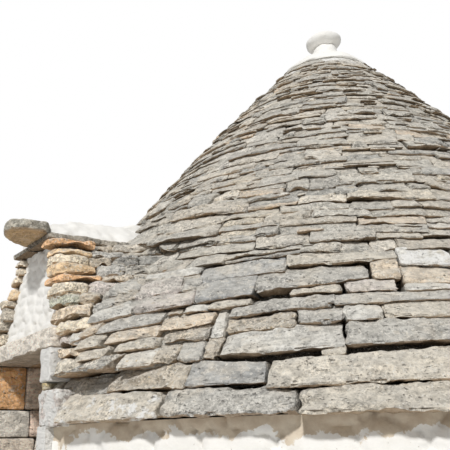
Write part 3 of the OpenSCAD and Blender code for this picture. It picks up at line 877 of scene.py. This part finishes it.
def wash_material(name, dirt=0.25, bare_and_shade_from=None):
    """Many coats of limewash over rough stone or mortar, which may stop at about a height: the band of bare
    stone above it is partly painted shade of the eave
    """
    mat, g, at = new_material(name)
    wide = g.noise(at, 2.2, 5, 0.6)
    mid = g.noise(at, 14, 6, 0.65)
    fine = g.noise(at, 90, 4, 0.6)
    flake = g.ramp(g.noise(at, 42, 3, 0.6), 0.69, 0.73, 0, 0.55)
    colour = g.mix(g.ramp(mid, 0.45, 0.8, 0, 0.35), WHITE, linear(228, 223, 212))
    colour = g.mix(g.ramp(wide, 0.55, 0.75, 0, dirt), colour, SHADE_WHITE)
    colour = g.mix(flake, colour, linear(178, 170, 156))
    if bare_and_shade_from:
        # Partly painted shade: bare beige stone under the eave, laid where the eave's shadow falls
        edge = g.plus(g.upward(at), g.times(g.noise(at, 5, 5, 0.62), 0.42))
        stone = g.mix(g.ramp(mid, 0.35, 0.65), linear(198, 180, 156), linear(216, 202, 180))
        colour = g.mix(g.ramp(edge, bare_and_shade_from + 0.20, bare_and_shade_from + 0.216, 0, 0.9), colour, stone)
    height = g.minus(g.plus(mid, g.times(fine, 0.35)), g.times(flake, 0.4))
    g.surface(colour, g.ramp(fine, 0.3, 0.7, 0.82, 0.95), height, 0.6, 0.007)
    return mat


STONE = stone_material("dry_stone")
# Gable stones get stronger painted bounce light on their undersides
BOUNCE_LIT_STONE = stone_material("gable_stone", 0.7)
WASH = wash_material("limewash", 0.5)
FIELD_WASH = wash_material("field_limewash", 0.1)
INNER = wash_material("inner_limewash", 0.5)
# The wall's limewash stops under the eave, where bare stone partly stands in for the eave's shade
WALL_WASH = wash_material("wall_limewash", bare_and_shade_from=1.668)


# The cone

CONE_PIECES = ["eave_course", "thick_courses"] + ["roof_band_%d" % (k + 1) for k in range(BANDS)]
cone_heaps = [Heap(name + "_stones", 100 + k) for k, name in enumerate(CONE_PIECES)]
lay_photo_stones(cone_heaps)
for name, heap, first, top in zip(CONE_PIECES, cone_heaps, [0] + NODE_TOPS, NODE_TOPS):
    for i in range(first, top):
        lay_course(heap, i)
        if LISTED <= i < TOP_COURSE - 3:
            lay_flakes(heap, i)
    backing(heap, first, top)
    heap.build(STONE, "roof_stone", [name], limit=ROOF_R - 0.001)


# The limewashed wall

def rubble(s, z, tall, long, seed=0):
    """Relief of roughly coursed stones: 0 at a joint and 1 on a face, and a number for each stone"""
    u, v = s / long, z / tall
    row = np.floor(v).astype(np.int64)
    near = second = np.full(len(s), np.inf)
    owner = np.zeros(len(s))
    zero = np.zeros_like(row)
    for dj in (-1, 0, 1):
        r = row + dj
        shift = 0.5 * lattice(r, zero, zero, seed + 1)
        column = np.floor(u - shift).astype(np.int64)
        for di in (-1, 0, 1):
            c = column + di
            cx = c + 0.5 + shift + 0.28 * lattice(c, r, zero, seed + 2)
            cy = r + 0.5 + 0.22 * lattice(c, r, zero, seed + 3)
            d = np.hypot((u - cx) * long * 0.55, (v - cy) * tall)
            closer = d < near
            second = np.where(closer, near, np.minimum(second, d))
            owner = np.where(closer, lattice(c, r, zero, seed + 4), owner)
            near = np.where(closer, d, near)
    return smooth(np.clip((second - near) / 0.028, 0, 1)), owner


def wall_skin(s, z, depth=0.030):
    """How far the wall's face stands out from its mean surface, at distances round it and heights"""
    p = points_at(s, z, 0)
    s, z = p[:, 0], p[:, 1]
    warp = 0.05 * noise(p, 0.35, 21)
    face, owner = rubble(s + warp, z + 0.6 * warp, 0.17, 0.34)
    lump = 0.5 * noise(p, 0.12, 23) + 0.35 * noise(p, 0.055, 24)
    return depth * (face - 1) + 0.026 * (owner - 1) / 2 + 0.011 * (lump - 0.8)


def wall_radius(z):
    return WALL_R + WALL_BATTER * (1 - z / EAVE_Z)


def wall_piece(name, az0, az1):
    """A length of the round wall between two azimuths, rough on both faces"""
    heap = Heap(name + "_limewashed", 300 + int(az0))
    up = np.linspace(0, EAVE_Z, 61)
    down = np.linspace(EAVE_Z, 0, 31)
    z = np.concatenate([up, down])
    rings = []
    for az in np.linspace(az0, az1, 97):
        outer = wall_radius(up) + wall_skin(math.radians(az) * WALL_R, up)
        inner = ROOM_R - wall_skin(math.radians(az) * ROOM_R + 40, down, 0.012)
        x, y = (np.concatenate([outer, inner]) * n for n in outward(az)[:2])
        rings.append(points_at(x, y, z))
    heap.grid(rings, flip=True)
    heap.build(WALL_WASH, "limewashed_wall", [name], sharp=60)


def pier_piece(name, side):
    """The wall beside the doorway, behind the jamb's blocks"""
    heap = Heap(name + "_limewashed", 320 + side)
    inner_x = DOOR_HALF + JAMB_T
    end = math.sin(math.radians(PIER_ANGLE))
    back_x = np.linspace(ROOM_R * end, inner_x, 10)
    back_y = -np.sqrt(ROOM_R ** 2 - back_x ** 2)
    rings = []
    for z in np.linspace(0, EAVE_Z, 61):
        r = wall_radius(z)
        x = np.linspace(inner_x, r * end, 30)
        y = -np.sqrt(r * r - x * x)
        az = np.arctan2(x, -y)
        bump = wall_skin((az if side > 0 else 2 * math.pi - az) * WALL_R, z, 0.022)
        y = np.maximum(y, -FRONT_Y)
        front = points_at(x + x / r * bump, np.maximum(y + y / r * bump, -FRONT_Y), z)
        ring = np.concatenate([front, points_at(back_x, back_y, z)])
        rings.append((ring * (side, 1, 1))[::side])
    heap.grid(rings)
    heap.build(WALL_WASH, "limewashed_wall", [name], sharp=60)


for k in range(WALL_PARTS):
    turn = (360 - 2 * PIER_ANGLE) / WALL_PARTS
    wall_piece("wall_%d" % (k + 1), PIER_ANGLE + k * turn, PIER_ANGLE + (k + 1) * turn)
pier_piece("left_pier", -1)
pier_piece("right_pier", 1)


# The doorway: dressed blocks in the jambs, lintels and threshold

def straight(corners):
    """Puts a stone between eight corners[u][v][w]"""
    axes = [corners.take(1, k).mean(axis=(0, 1)) - corners.take(0, k).mean(axis=(0, 1)) for k in range(3)]
    size = [np.linalg.norm(a) for a in axes]

    def place(u, v, w):
        world = np.zeros((len(u), 3))
        for i, j, k in product((0, 1), repeat=3):
            share = (1 + (2 * i - 1) * u) * (1 + (2 * j - 1) * v) * (1 + (2 * k - 1) * w) / 8
            world += share[:, None] * corners[i, j, k]
        return (world, *(np.array([a / n]) for a, n in zip(axes, size)))

    return size, place


def block(heap, low, high, out_axis, out_sign, along_axis, look, **more):
    """A stone in a box from low to high that faces along one axis"""
    corners = np.zeros((2, 2, 2, 3))
    up_axis = 3 - out_axis - along_axis
    for u, v, w in product((0, 1), repeat=3):
        corners[u, v, w, along_axis] = (low, high)[u][along_axis]
        corners[u, v, w, up_axis] = (low, high)[v][up_axis]
        corners[u, v, w, out_axis] = (low, high)[w if out_sign > 0 else 1 - w][out_axis]
    if np.linalg.det([corners[1, 0, 0], corners[0, 1, 0], corners[0, 0, 1]] - corners[0, 0, 0]) < 0:
        corners = corners[::-1]
    heap.stone(*straight(corners), look, **more)


# Courses of the jambs: lowest and highest height, and the blocks' ends from the front inwards
JAMB_ROWS = [
    (-1.745, -1.42, (0, 0.31, 0.58, 0.87)), (-1.41, -1.13, (0, 0.22, 0.55, 0.87)),
    (-1.12, -0.84, (0, 0.33, 0.62, 0.87)), (-0.83, -0.58, (0, 0.24, 0.50, 0.87)),
    (-0.57, -0.315, (0, 0.30, 0.60, 0.87)), (-0.305, -0.045, (0, 0.33, 0.56, 0.87)),
    (-0.035, 0.137, (0, 0.29, 0.46, 0.76, 1.02)), (0.147, 0.427, (0, 0.25, 0.46, 0.70, 1.02))]
JAMB_COLOURS = [(250, 234, 214), (240, 232, 220), (248, 226, 200), (244, 232, 216), (238, 230, 220)]
# Colours of the blocks nearest to the camera, by row and place
JAMB_FRONTS = {
    (6, 0): (244, 236, 222), (6, 1): (250, 224, 204), (7, 0): (255, 200, 144), (7, 1): (248, 228, 208)}
# Quoins at the right of the doorway: colour, limewash, pitting and painted bounce light on undersides; left
# and right end; distances from the wall's front; foot and top over the eave; and how each is hewn
QUOINS = [
    ((232, 220, 212), (0.5, 0.4, 0.2), (DOOR_HALF, 0.72), (0, QUOIN), (-0.012, 0.19),
     dict(cell=0.022, rounding=0.016, cuts=2, rough=0.7)),
    ((236, 232, 226), (0.8, 0.3, 0.2), (DOOR_HALF, 0.60), (0, QUOIN), (0.24, 0.427),
     dict(cell=0.022, rounding=0.012, cuts=1, rough=0.5)),
    ((200, 180, 130), (0.0, 0.9, 0.6), (DOOR_HALF + 0.02, 0.545), (0.01, 0.12), (0.194, 0.234),
     dict(cell=0.015, rounding=0.008, cuts=2, rough=0.6))]


def jamb(name, side):
    """The blocks on one side of the doorway, limewashed at their fronts, and the right side's quoins"""
    heap = Heap(name, 340 + side)
    rng = heap.rng

    def whitened(points, tint):
        front = (points[:, 1] < -FRONT_Y + 0.03) & (points[:, 2] < EAVE_Z + 0.5)
        tint[front, 3] = 0.95 if side > 0 else 0.7

    x0, x1 = sorted((side * (DOOR_HALF - 0.014), side * (DOOR_HALF + JAMB_T)))
    for row, (low, high, ends) in enumerate(JAMB_ROWS):
        for k, (a, b) in enumerate(zip(ends[:-1], ends[1:])):
            beside_quoin = side > 0 and k == 0
            if beside_quoin and row >= 6:
                a = 0.14
            top = 0.0 if beside_quoin and row == 5 else high
            usual = JAMB_COLOURS[int(rng.integers(0, 5))]
            look = stone_look(rng, linear(*JAMB_FRONTS.get((row, k), usual)), 0.1, 0.3, 0.2, 0.9)
            block(heap, (x0, -FRONT_Y + a + JOINT, EAVE_Z + low), (x1, -FRONT_Y + b - JOINT, EAVE_Z + top),
                  0, -side, 1, look, cell=0.03, rounding=0.012, cuts=1, rough=0.35, paint=whitened)
    for colour, wear, x, y, z, hewn in QUOINS if side > 0 else ():
        look = stone_look(rng, linear(*colour), *wear)
        corners = ((x[k], -FRONT_Y + y[k], EAVE_Z + z[k]) for k in (0, 1))
        block(heap, *corners, 1, -1, 0, look, **hewn)
    heap.build(STONE, "limewashed_wall")


def lintel(heap, front, back, out_axis, colour, white, pitted, **hewn):
    """A slab over the passage between two distances from the axis"""
    look = stone_look(heap.rng, linear(*colour), white, pitted, 0.2, 1.0)
    foot = EAVE_Z + DOOR_RISE
    # The lintel gets no painted shade in its joints
    block(heap, (-LINTEL_HALF, -front, foot), (LINTEL_HALF, -back, foot + LINTEL_T), out_axis, -1, 0, look,
          cuts=0, exposed=1.0, **hewn)


def lintels():
    heap = Heap("front_lintel_stone", 350)
    lintel(heap, FRONT_Y, FRONT_Y - LINTEL_DEPTH, 1, (250, 240, 226), 0.2, 0.05,
           cell=0.03, rounding=0.010, rough=0.35)
    heap.build(BOUNCE_LIT_STONE, "lintel_stone", ["front_lintel"])
    heap = Heap("back_lintel_slabs", 351)
    ends = np.array([FRONT_Y - LINTEL_DEPTH, 2.40, 2.19, 1.99, LINTEL_END])
    for a, b in zip(ends[:-1] - JOINT, ends[1:] + JOINT):
        lintel(heap, a, b, 2, (232, 196, 156), 0, 0.2, cell=0.045, rounding=0.008, rough=0.4)
    heap.build(STONE, "inner_stone", ["back_lintel"])


def paving():
    """Flagstones of the room, and the two slabs of the threshold"""
    heap = Heap("floor_flagstones", 360)
    rng = heap.rng
    y = -ROOM_R + 0.02
    while y < ROOM_R - 0.1:
        y1 = min(y + rng.uniform(0.3, 0.46), ROOM_R - 0.02)
        half = math.sqrt(ROOM_R ** 2 - max(abs(y), abs(y1)) ** 2)
        x = -half
        while x < half - 0.05:
            x1 = min(x + rng.uniform(0.35, 0.7), half)
            if half - x1 < 0.2:
                x1 = half
            look = stone_look(rng, None, 0, 0.3, 0)
            block(heap, (x + JOINT, y + JOINT, 0), (x1 - JOINT, y1 - JOINT, FLOOR_T), 2, 1, 0,
                  look, cell=0.1, rounding=0.010, cuts=0, rough=0.18)
            x = x1
        y = y1
    heap.build(STONE, "floor_stone", ["floor"])
    heap = Heap("threshold_slabs", 361)
    for x0, x1 in ((-DOOR_HALF, 0.08), (0.086, DOOR_HALF)):
        look = stone_look(heap.rng, linear(206, 198, 184), 0, 0.2, 0)
        block(heap, (x0, -FRONT_Y, 0), (x1, -2.0, FLOOR_T), 2, 1, 0, look,
              cell=0.05, rounding=0.016, cuts=0, rough=0.3)
    heap.build(STONE, "floor_stone", ["threshold"])


jamb("left_jamb_blocks", -1)
jamb("right_jamb_blocks", 1)
lintels()
paving()


# The gable over the doorway

def flank_y(x, z):
    r = FLANK_R - FLANK_FALL * max(z, 0) / FIELD_RISE
    return -min(front_at(z), math.sqrt(max(r * r - x * x, 0.01)))


def field_half(z):
    t = (z - DOOR_RISE - LINTEL_T) / (FIELD_RISE - DOOR_RISE - LINTEL_T)
    return FIELD_FOOT + (FIELD_TOP - FIELD_FOOT) * t


# Joints of the flanks' courses, and each near course's stones: where they end along the face, and colours
FLANK_BEDS = [FOOT_RISE, 0.351, 0.42, 0.488, 0.575, 0.661, NEAR_TOP, 0.823, 0.88, 0.961, 1.036, 1.089,
              FIELD_RISE]
NEAR_ROWS = [
    ((0.25, BEIGE), (0.45, BROWN)), ((0.28, PEACH), (0.50, BROWN)),
    ((0.14, PINK), (0.26, PALE), (0.34, PINK), (0.80, GREY)), ((0.30, CREAM), (0.52, GREY)),
    ((0.38, PEACH), (0.60, GREY)), ((0.30, GREEN), (0.42, BROWN)), ((0.33, CREAM), (0.60, PINK)),
    ((0.41, ORANGE), (0.60, BROWN)), ((0.39, APRICOT), (0.55, GREY)), ((0.37, CREAM), (0.50, BROWN)),
    ((0.39, APRICOT), (0.56, GREY)), ((0.38, ORANGE), (0.52, BROWN))]


def flank_path(z, inner, outer):
    """Plan of a flank's face at a height: along the front, straight back, then diagonally into the cone"""
    across, along = math.sin(SHOULDER_TURN), math.cos(SHOULDER_TURN)
    limit = shoulder_w(z)
    points = [(inner, flank_y(inner, z))]
    x = inner
    while x < outer or x * across - (flank_y(x, z) + FRONT_Y) * along < limit:
        x += 0.01
        points.append((x, flank_y(x, z)))
    y = points[-1][1]
    while x * across - (y + FRONT_Y) * along > limit:
        y += 0.01
        points.append((x, y))
    while math.hypot(x, y) > cone_r(z) - 0.03 and y < -1.5:
        x += 0.01 * along
        y += 0.01 * across
        points.append((x, y))
    padded = np.array([points[0]] * 5 + points + [points[-1]] * 5)
    points = np.array([padded[k:k + 11].mean(axis=0) for k in range(len(points))])
    steps = np.linalg.norm(np.diff(points, axis=0), axis=1)
    return points, np.concatenate([[0], np.cumsum(steps)])


def on_path(path, s):
    """Points of a path at distances along it"""
    points, run = path
    return np.stack([np.interp(s, run, points[:, k]) for k in (0, 1)], axis=-1)


def flank_stone(heap, side, path, s0, s1, low, high, lean, cell, look, out, **more):
    """A stone of a flank between two distances along its path and two heights"""
    up = np.array([[0.0, 0.0, 1.0]])

    def place(u, v, w):
        s = s0 + (s1 - s0) * (1 + side * u) / 2
        ahead = on_path(path, s + 0.02) - on_path(path, s - 0.02)
        ahead /= np.maximum(np.linalg.norm(ahead, axis=1), 1e-9)[:, None]
        away = np.stack([ahead[:, 1], -ahead[:, 0]], axis=1)
        plan = on_path(path, s) + away * (out + 0.012 * (1 - v) / 2 - STONE_DEPTH * (1 - w) / 2)[:, None]
        z = EAVE_Z + ((low + high) / 2 + lean * (s / path[1][-1] - 0.5)) + (high - low) * v / 2
        return (points_at(side * plan[:, 0], plan[:, 1], z), points_at(ahead[:, 0], side * ahead[:, 1], 0),
                up, points_at(side * away[:, 0], away[:, 1], 0))

    heap.stone((s1 - s0, high - low, STONE_DEPTH), place, look, cell=cell, exposed=0.014, **more)


def flank_inner(side, low, high):
    """Where a flank's course begins beside the doorway, its lintel or the white field"""
    if high <= DOOR_RISE + 0.02:
        return DOOR_HALF + (QUOIN if side > 0 else 0.0)
    if low < DOOR_RISE + LINTEL_T - 0.02:
        return LINTEL_HALF + 0.004
    return field_half((low + high) / 2)


def flank_core(heap, side, rake):
    """The packing behind a flank's stones, dark as painted shade in its joints"""
    rings = []
    for z in np.linspace(FOOT_RISE + 0.01, FIELD_RISE - 0.02, 12):
        inner = flank_inner(side, z, z)
        path = flank_path(z, inner, float(np.interp(z, *zip(*rake))))
        here = on_path(path, np.linspace(0, path[1][-1], 24))
        ahead = np.gradient(here, axis=0)
        ahead /= np.linalg.norm(ahead, axis=1)[:, None]
        here -= 0.08 * np.stack([ahead[:, 1], -ahead[:, 0]], axis=1)
        here[:, 0] = np.maximum(here[:, 0], inner + 0.03)
        plan = np.concatenate([here, [(here[-1, 0] - 0.05, here[-1, 1] + 0.2), (inner + 0.03, -2.12)]])
        rings.append(points_at(side * plan[:, 0], plan[:, 1], EAVE_Z + z)[::side])
    heap.grid(rings, None, PACKING_SHADE, PACKING_GRAIN)


def flank_course(heap, side, rake, i):
    """Course i of a flank: the near side's first stones as the photograph shows them, the others drawn"""
    rng = heap.rng
    low = FLANK_BEDS[i]
    high = FLANK_BEDS[i + 1] - rng.uniform(0.002, 0.011)
    mid = (low + high) / 2
    inner = flank_inner(side, low, high) + (rng.uniform(-0.014, 0.010) if low > DOOR_RISE else 0)
    outer = float(np.interp(mid, *zip(*rake))) + rng.uniform(-0.02, 0.01)
    path = flank_path(mid, inner, outer)
    whole = path[1][-1]
    known = NEAR_ROWS[i] if side > 0 else ()
    s = 0.0
    k = 0
    while s < whole - 0.02:
        nxt = known[k][0] if k < len(known) else s + rng.uniform(0.16, 0.42)
        if whole - nxt < 0.12:
            nxt = whole
        if k < len(known):
            front = np.array(linear(*known[k][1])) * rng.uniform(1.16, 1.28)
        elif side < 0 and s < 0.35:
            front = pick(rng, GABLE_FRONT) * 1.1
        else:
            front = pick(rng)
        x, y = on_path(path, s)
        covered = side > 0 and mid < NEAR_TOP and math.degrees(math.atan2(x, -y)) > 17
        pitted = rng.uniform(0.2, 1.0)
        white, fresh = (0.18, 0.8) if s < 0.3 else (0.0, 0.0)
        look = stone_look(rng, front, white, pitted, rng.uniform(0.3, 1.0), fresh)
        arch = (rng.uniform(-0.6, 0.9), 0.35, rng.uniform(0.012, 0.034)) if rng.random() < 0.6 else None
        flank_stone(heap, side, path, s + 0.002, nxt - 0.002, low, high, rng.uniform(-0.012, 0.012),
                    FINE_CELL if side > 0 else 0.02, look, rng.uniform(-0.034, 0.012) - 0.035 * covered,
                    rounding=rng.uniform(0.012, 0.022), cuts=3, rough=0.9 + 0.3 * pitted, arch=arch)
        s = nxt
        k += 1


def flank(name, side, rake):
    """A stone side of the gable"""
    heap = Heap(name + "_stones", 380 + side)
    for i in range(len(NEAR_ROWS)):
        flank_course(heap, side, rake, i)
    flank_core(heap, side, rake)
    heap.build(BOUNCE_LIT_STONE, "gable_stone", [name])


def tympanum():
    """The white field between the flanks"""
    heap = Heap("tympanum_limewashed", 390)
    rings = []
    for z in np.linspace(DOOR_RISE + LINTEL_T, FIELD_RISE, 44):
        half = field_half(z) + 0.02
        x = np.linspace(-half, half, 64)
        face, owner = rubble(x + 3, z + 0.03 * np.sin(7 * x), 0.06, 0.15, 5)
        y = -(front_at(z) - RECESS) + 0.010 * (1 - face) - 0.006 * owner
        back = points_at([half, -half], 0.26 - front_at(z), EAVE_Z + z)
        rings.append(np.concatenate([points_at(x, y, EAVE_Z + z), back]))
    push = np.zeros_like(rings)
    push[:, :64, 1] = -1
    heap.grid(rings, push, rough=0.35)
    heap.build(FIELD_WASH, "white_field", ["tympanum"], sharp=60)


def swollen(foot, top, t):
    """A half width that swells out between its foot and its top"""
    return top + (foot - top) * (1 - t ** 1.3)


def ridge_bed():
    """Four thin slabs under the ridge"""
    heap = Heap("ridge_bed_slabs", 400)
    rng = heap.rng
    base = EAVE_Z + FIELD_RISE
    ends = [-front_at(FIELD_RISE + BED_T), -2.44, -GABLE_BACK]
    for y0, y1 in zip(ends[:-1], ends[1:]):
        split = rng.uniform(-0.08, 0.08)
        for x0, x1, side in ((-BED_HALF, split - JOINT, -1), (split + JOINT, BED_HALF, 1)):
            look = stone_look(rng, linear(176, 168, 154), 0.1, 1.0, 0.6)
            block(heap, (x0, y0 + 0.001, base), (x1, y1 - 0.001, base + BED_T), 0, side, 1,
                  look, cell=0.014, rounding=0.007, cuts=2, rough=0.8)
    heap.build(STONE, "gable_stone", ["ridge_bed"])


def ridge_mortar():
    """The white ridge, which rises from under the peak slab"""
    heap = Heap("ridge_mortar_limewashed", 401)
    base = EAVE_Z + FIELD_RISE + BED_T
    start = RIDGE_SETBACK - front_at(FIELD_RISE + BED_T)
    mirror = (-1, 1, 1)
    rings = []
    pushes = []
    for y in np.linspace(start, -RIDGE_BACK, 46):
        tall = min(1.0, (PEAK_T + (y - start) * (RIDGE_H - PEAK_T) / RIDGE_RAMP) / RIDGE_H)
        t = np.linspace(0, tall, 14)
        half = np.array([swollen(BED_HALF - RIDGE_INSET, RIDGE_TOP, k) for k in t])
        right = points_at(half, y, base + RIDGE_H * t)
        top = points_at(np.linspace(half[-1], -half[-1], 9)[1:-1], y, base + RIDGE_H * tall)
        away = points_at(np.cos(t * 1.5), 0, np.sin(t * 1.5))
        rings.append(np.concatenate([right, top, right[::-1] * mirror]))
        pushes.append(np.concatenate([away, [(0, 0, 1)] * len(top), away[::-1] * mirror]))
    heap.grid(rings, pushes, rough=1.3, flip=True)
    heap.build(WASH, "white_mortar", ["ridge_mortar"], sharp=70)


def fillet():
    """The mortar that climbs from the ridge up the cone"""
    heap = Heap("ridge_fillet_limewashed", 402)
    front = RIDGE_BACK + FILLET_REACH
    length = FILLET_REACH + 0.06 + RIDGE_TOP
    turn = np.radians(np.linspace(0, 180, 13))
    push = np.concatenate([points_at(np.cos(turn), -0.3, np.sin(turn)), [(-1, 0, 0), (1, 0, 0)]])
    rings = []
    for t in np.linspace(0, 0.88, 24):
        y = length * t - front
        top = RIDGE_RISE + FILLET_H * t ** 1.6 - 0.004 - 0.06 * min(max(t - 0.5, 0) / 0.2, 1)
        low = min(RIDGE_RISE - 0.05, top - 0.03)
        half = RIDGE_TOP * (1 - 0.06 * t)
        arc = points_at(half * np.cos(turn), y, top - 0.03 * (1 - np.sin(turn)))
        rings.append(np.concatenate([arc, points_at([-half, half], y, low)]) + (0, 0, EAVE_Z))
    heap.grid(rings, [push] * len(rings), rough=0.8, flip=True)
    heap.build(WASH, "white_mortar", ["ridge_fillet"], sharp=70)


# The peak slab from its underside over its edge to its top: share of the outline, height if 0.085 thick
PEAK_ROWS = [
    (0.01, 0), (0.3, 0), (0.55, 0), (0.75, 0), (0.88, 0), (0.95, 0.002), (0.985, 0.010), (0.998, 0.022),
    (1, 0.036), (0.995, 0.050), (0.985, 0.064), (0.965, 0.075), (0.92, 0.082), (0.84, 0.084),
    (0.7, 0.085), (0.5, 0.085), (0.3, 0.085), (0.01, 0.085)]


def peak():
    """The slab that stands out over the gable's front, with a rounded outline"""
    heap = Heap("peak_slab_stone", 410)
    base = EAVE_Z + FIELD_RISE + BED_T
    back = front_at(FIELD_RISE + BED_T) - PEAK_BEARING
    corners = np.array([(PEAK_HALF * x, -back - (PEAK_BEARING + PEAK_OVERHANG) * y) for x, y in PEAK_OUTLINE])
    ring = []
    for a, b in zip(corners, np.roll(corners, -1, axis=0)):
        n = max(2, int(np.linalg.norm(b - a) / 0.012))
        ring += [a + (b - a) * k / n for k in range(n)]
    ring = np.array(ring)
    for _ in range(3):
        ring = (np.roll(ring, 1, axis=0) + 2 * ring + np.roll(ring, -1, axis=0)) / 4
    centre = ring.mean(axis=0)
    rings = [points_at(*(centre + (ring - centre) * k).T, base + z * PEAK_T / 0.085) for k, z in PEAK_ROWS]
    away = (np.array(rings) - (*centre, base + PEAK_T / 2)) * (1, 1, 4)
    away /= np.linalg.norm(away, axis=2)[:, :, None]
    tint, grain = stone_look(heap.rng, linear(184, 178, 164), 0, 1.0, 1.0)
    tints = np.tile(tint, (len(PEAK_ROWS) * len(ring), 1))
    tints[:5 * len(ring), :3] = linear(196, 172, 130)
    heap.grid(rings, away, tints, grain, 0.9, flip=np.cross(ring[1] - ring[0], ring[2] - ring[1]) < 0)
    heap.build(STONE, "slab_stone", ["peak_slab"])


flank("left_gable", -1, LEFT_RAKE)
flank("right_gable", 1, RIGHT_RAKE)
tympanum()
ridge_bed()
ridge_mortar()
fillet()
peak()


# The white crown

def lathe(node, profile, rough, seed, move=None):
    """A turned body of mortar, with its top and foot closed"""
    heap = Heap(node + "_limewashed", seed)
    turn = np.linspace(0, 2 * math.pi, 72, endpoint=False)
    c, s = np.cos(turn), np.sin(turn)
    slope = np.gradient(np.array(profile), axis=0)
    slope /= np.maximum(np.linalg.norm(slope, axis=1), 1e-9)[:, None]
    points = np.array([points_at(r * c, r * s, z) for r, z in profile])
    push = np.array([points_at(dz * c, dz * s, -dr) for dr, dz in slope])
    if move is not None:
        points = points @ np.array(move.to_3x3()).T + np.array(move.translation)
        push = push @ np.array(move.to_3x3()).T
    heap.grid(points, push, rough=rough)
    heap.build(WASH, "white_mortar", [node], sharp=75)


def crown():
    """Mortar cap, neck and pinnacle"""
    tip = 0.004
    cap_z = EAVE_Z + course_z(TOP_COURSE)
    neck_z = cap_z + CAP_H
    foot = cone_r(cap_z - EAVE_Z) + 0.014
    profile = [(tip, cap_z + 0.002), (foot * 0.6, cap_z + 0.002), (foot - 0.012, cap_z)]
    profile += [(swollen(foot, NECK_FOOT, t), cap_z + CAP_H * t) for t in np.linspace(0, 1, 18)[1:]]
    lathe("roof_cap", profile + [(tip, neck_z)], 1.0, 420)
    profile = [(NECK_FOOT + (NECK_TOP - NECK_FOOT) * t, neck_z - 0.01 + (NECK_H + 0.014) * t)
               for t in np.linspace(0, 1, 9)]
    lathe("neck", [(tip, neck_z - 0.01)] + profile + [(tip, neck_z + NECK_H + 0.004)], 0.5, 421)
    start = -math.acos(NECK_TOP / PINNACLE_R)
    profile = [(max(PINNACLE_R * math.cos(a), tip), PINNACLE_HALF_H * (math.sin(a) - math.sin(start)))
               for a in np.linspace(start, math.pi / 2, 24)]
    axis = Vector((math.cos(math.radians(LEAN_AXIS)), math.sin(math.radians(LEAN_AXIS)), 0))
    move = Matrix.Translation((0, 0, neck_z + NECK_H)) @ Matrix.Rotation(math.radians(LEAN), 4, axis)
    lathe("pinnacle", [(tip, 0)] + profile, 0.45, 422, move)


crown()


# Camera, floor and light

def camera():
    f = Vector((-math.sin(YAW) * math.cos(PITCH), math.cos(YAW) * math.cos(PITCH), math.sin(PITCH)))
    right = Vector((math.cos(YAW), math.sin(YAW), 0))
    up = right.cross(f)
    axes = (math.cos(ROLL) * right + math.sin(ROLL) * up, math.cos(ROLL) * up - math.sin(ROLL) * right, -f)
    turn = Matrix.Rotation(math.radians(CAMERA_AZ), 3, "Z") @ Matrix(axes).transposed()
    data = bpy.data.cameras.new("camera")
    data.lens = LENS
    data.sensor_width = 36
    cam = bpy.data.objects.new("camera", data)
    cam.matrix_world = Matrix.Translation(CAMERA) @ turn.to_4x4()
    bpy.context.scene.collection.objects.link(cam)
    bpy.context.scene.camera = cam


def light():
    sun = bpy.data.lights.new("key", "SUN")
    sun.energy = SUN
    sun.angle = math.radians(SUN_WIDTH)
    lamp = bpy.data.objects.new("key", sun)
    az, el = math.radians(SUN_AZ), math.radians(SUN_HEIGHT)
    towards = Vector((math.sin(az) * math.cos(el), -math.cos(az) * math.cos(el), math.sin(el)))
    lamp.rotation_mode = "QUATERNION"
    lamp.rotation_quaternion = towards.to_track_quat("Z", "Y")
    bpy.context.scene.collection.objects.link(lamp)


def sky():
    """An even white surround, which lights the house less than it shows"""
    world = bpy.data.worlds.new("studio")
    bpy.context.scene.world = world
    world.use_nodes = True
    g = Graph(world.node_tree)
    rays = g.node("ShaderNodeLightPath").outputs
    seen = g.maths("MAXIMUM", rays["Is Camera Ray"], rays["Is Glossy Ray"])
    seen = g.maths("MAXIMUM", seen, rays["Is Transmission Ray"])
    background = world.node_tree.nodes["Background"]
    background.inputs[0].default_value = (1, 1, 1, 1)
    g.set(background.inputs[1], g.plus(g.times(seen, 1 - SKY_SHARE), SKY_SHARE))


def ground():
    mesh = bpy.data.meshes.new("floor_plane")
    rim = GROUND_R * outward(np.linspace(0, 360, 64, endpoint=False))
    mesh.from_pydata(rim, [], [range(len(rim))])
    mat, g, _ = new_material("studio_floor")
    inputs = g.tree.nodes["Principled BSDF"].inputs
    inputs["Base Color"].default_value = (0.72, 0.71, 0.69, 1)
    inputs["Roughness"].default_value = 0.9
    mesh.materials.append(mat)
    obj = bpy.data.objects.new("floor_plane", mesh)
    bpy.context.scene.collection.objects.link(obj)


def plain_nodes():
    """Material of the CAD nodes that show as they are"""
    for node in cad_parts.values():
        for slot in node.material_slots:
            slot.link = "OBJECT"
            slot.material = INNER


plain_nodes()
camera()
light()
sky()
ground()
bpy.context.scene.view_settings.view_transform = "Standard"
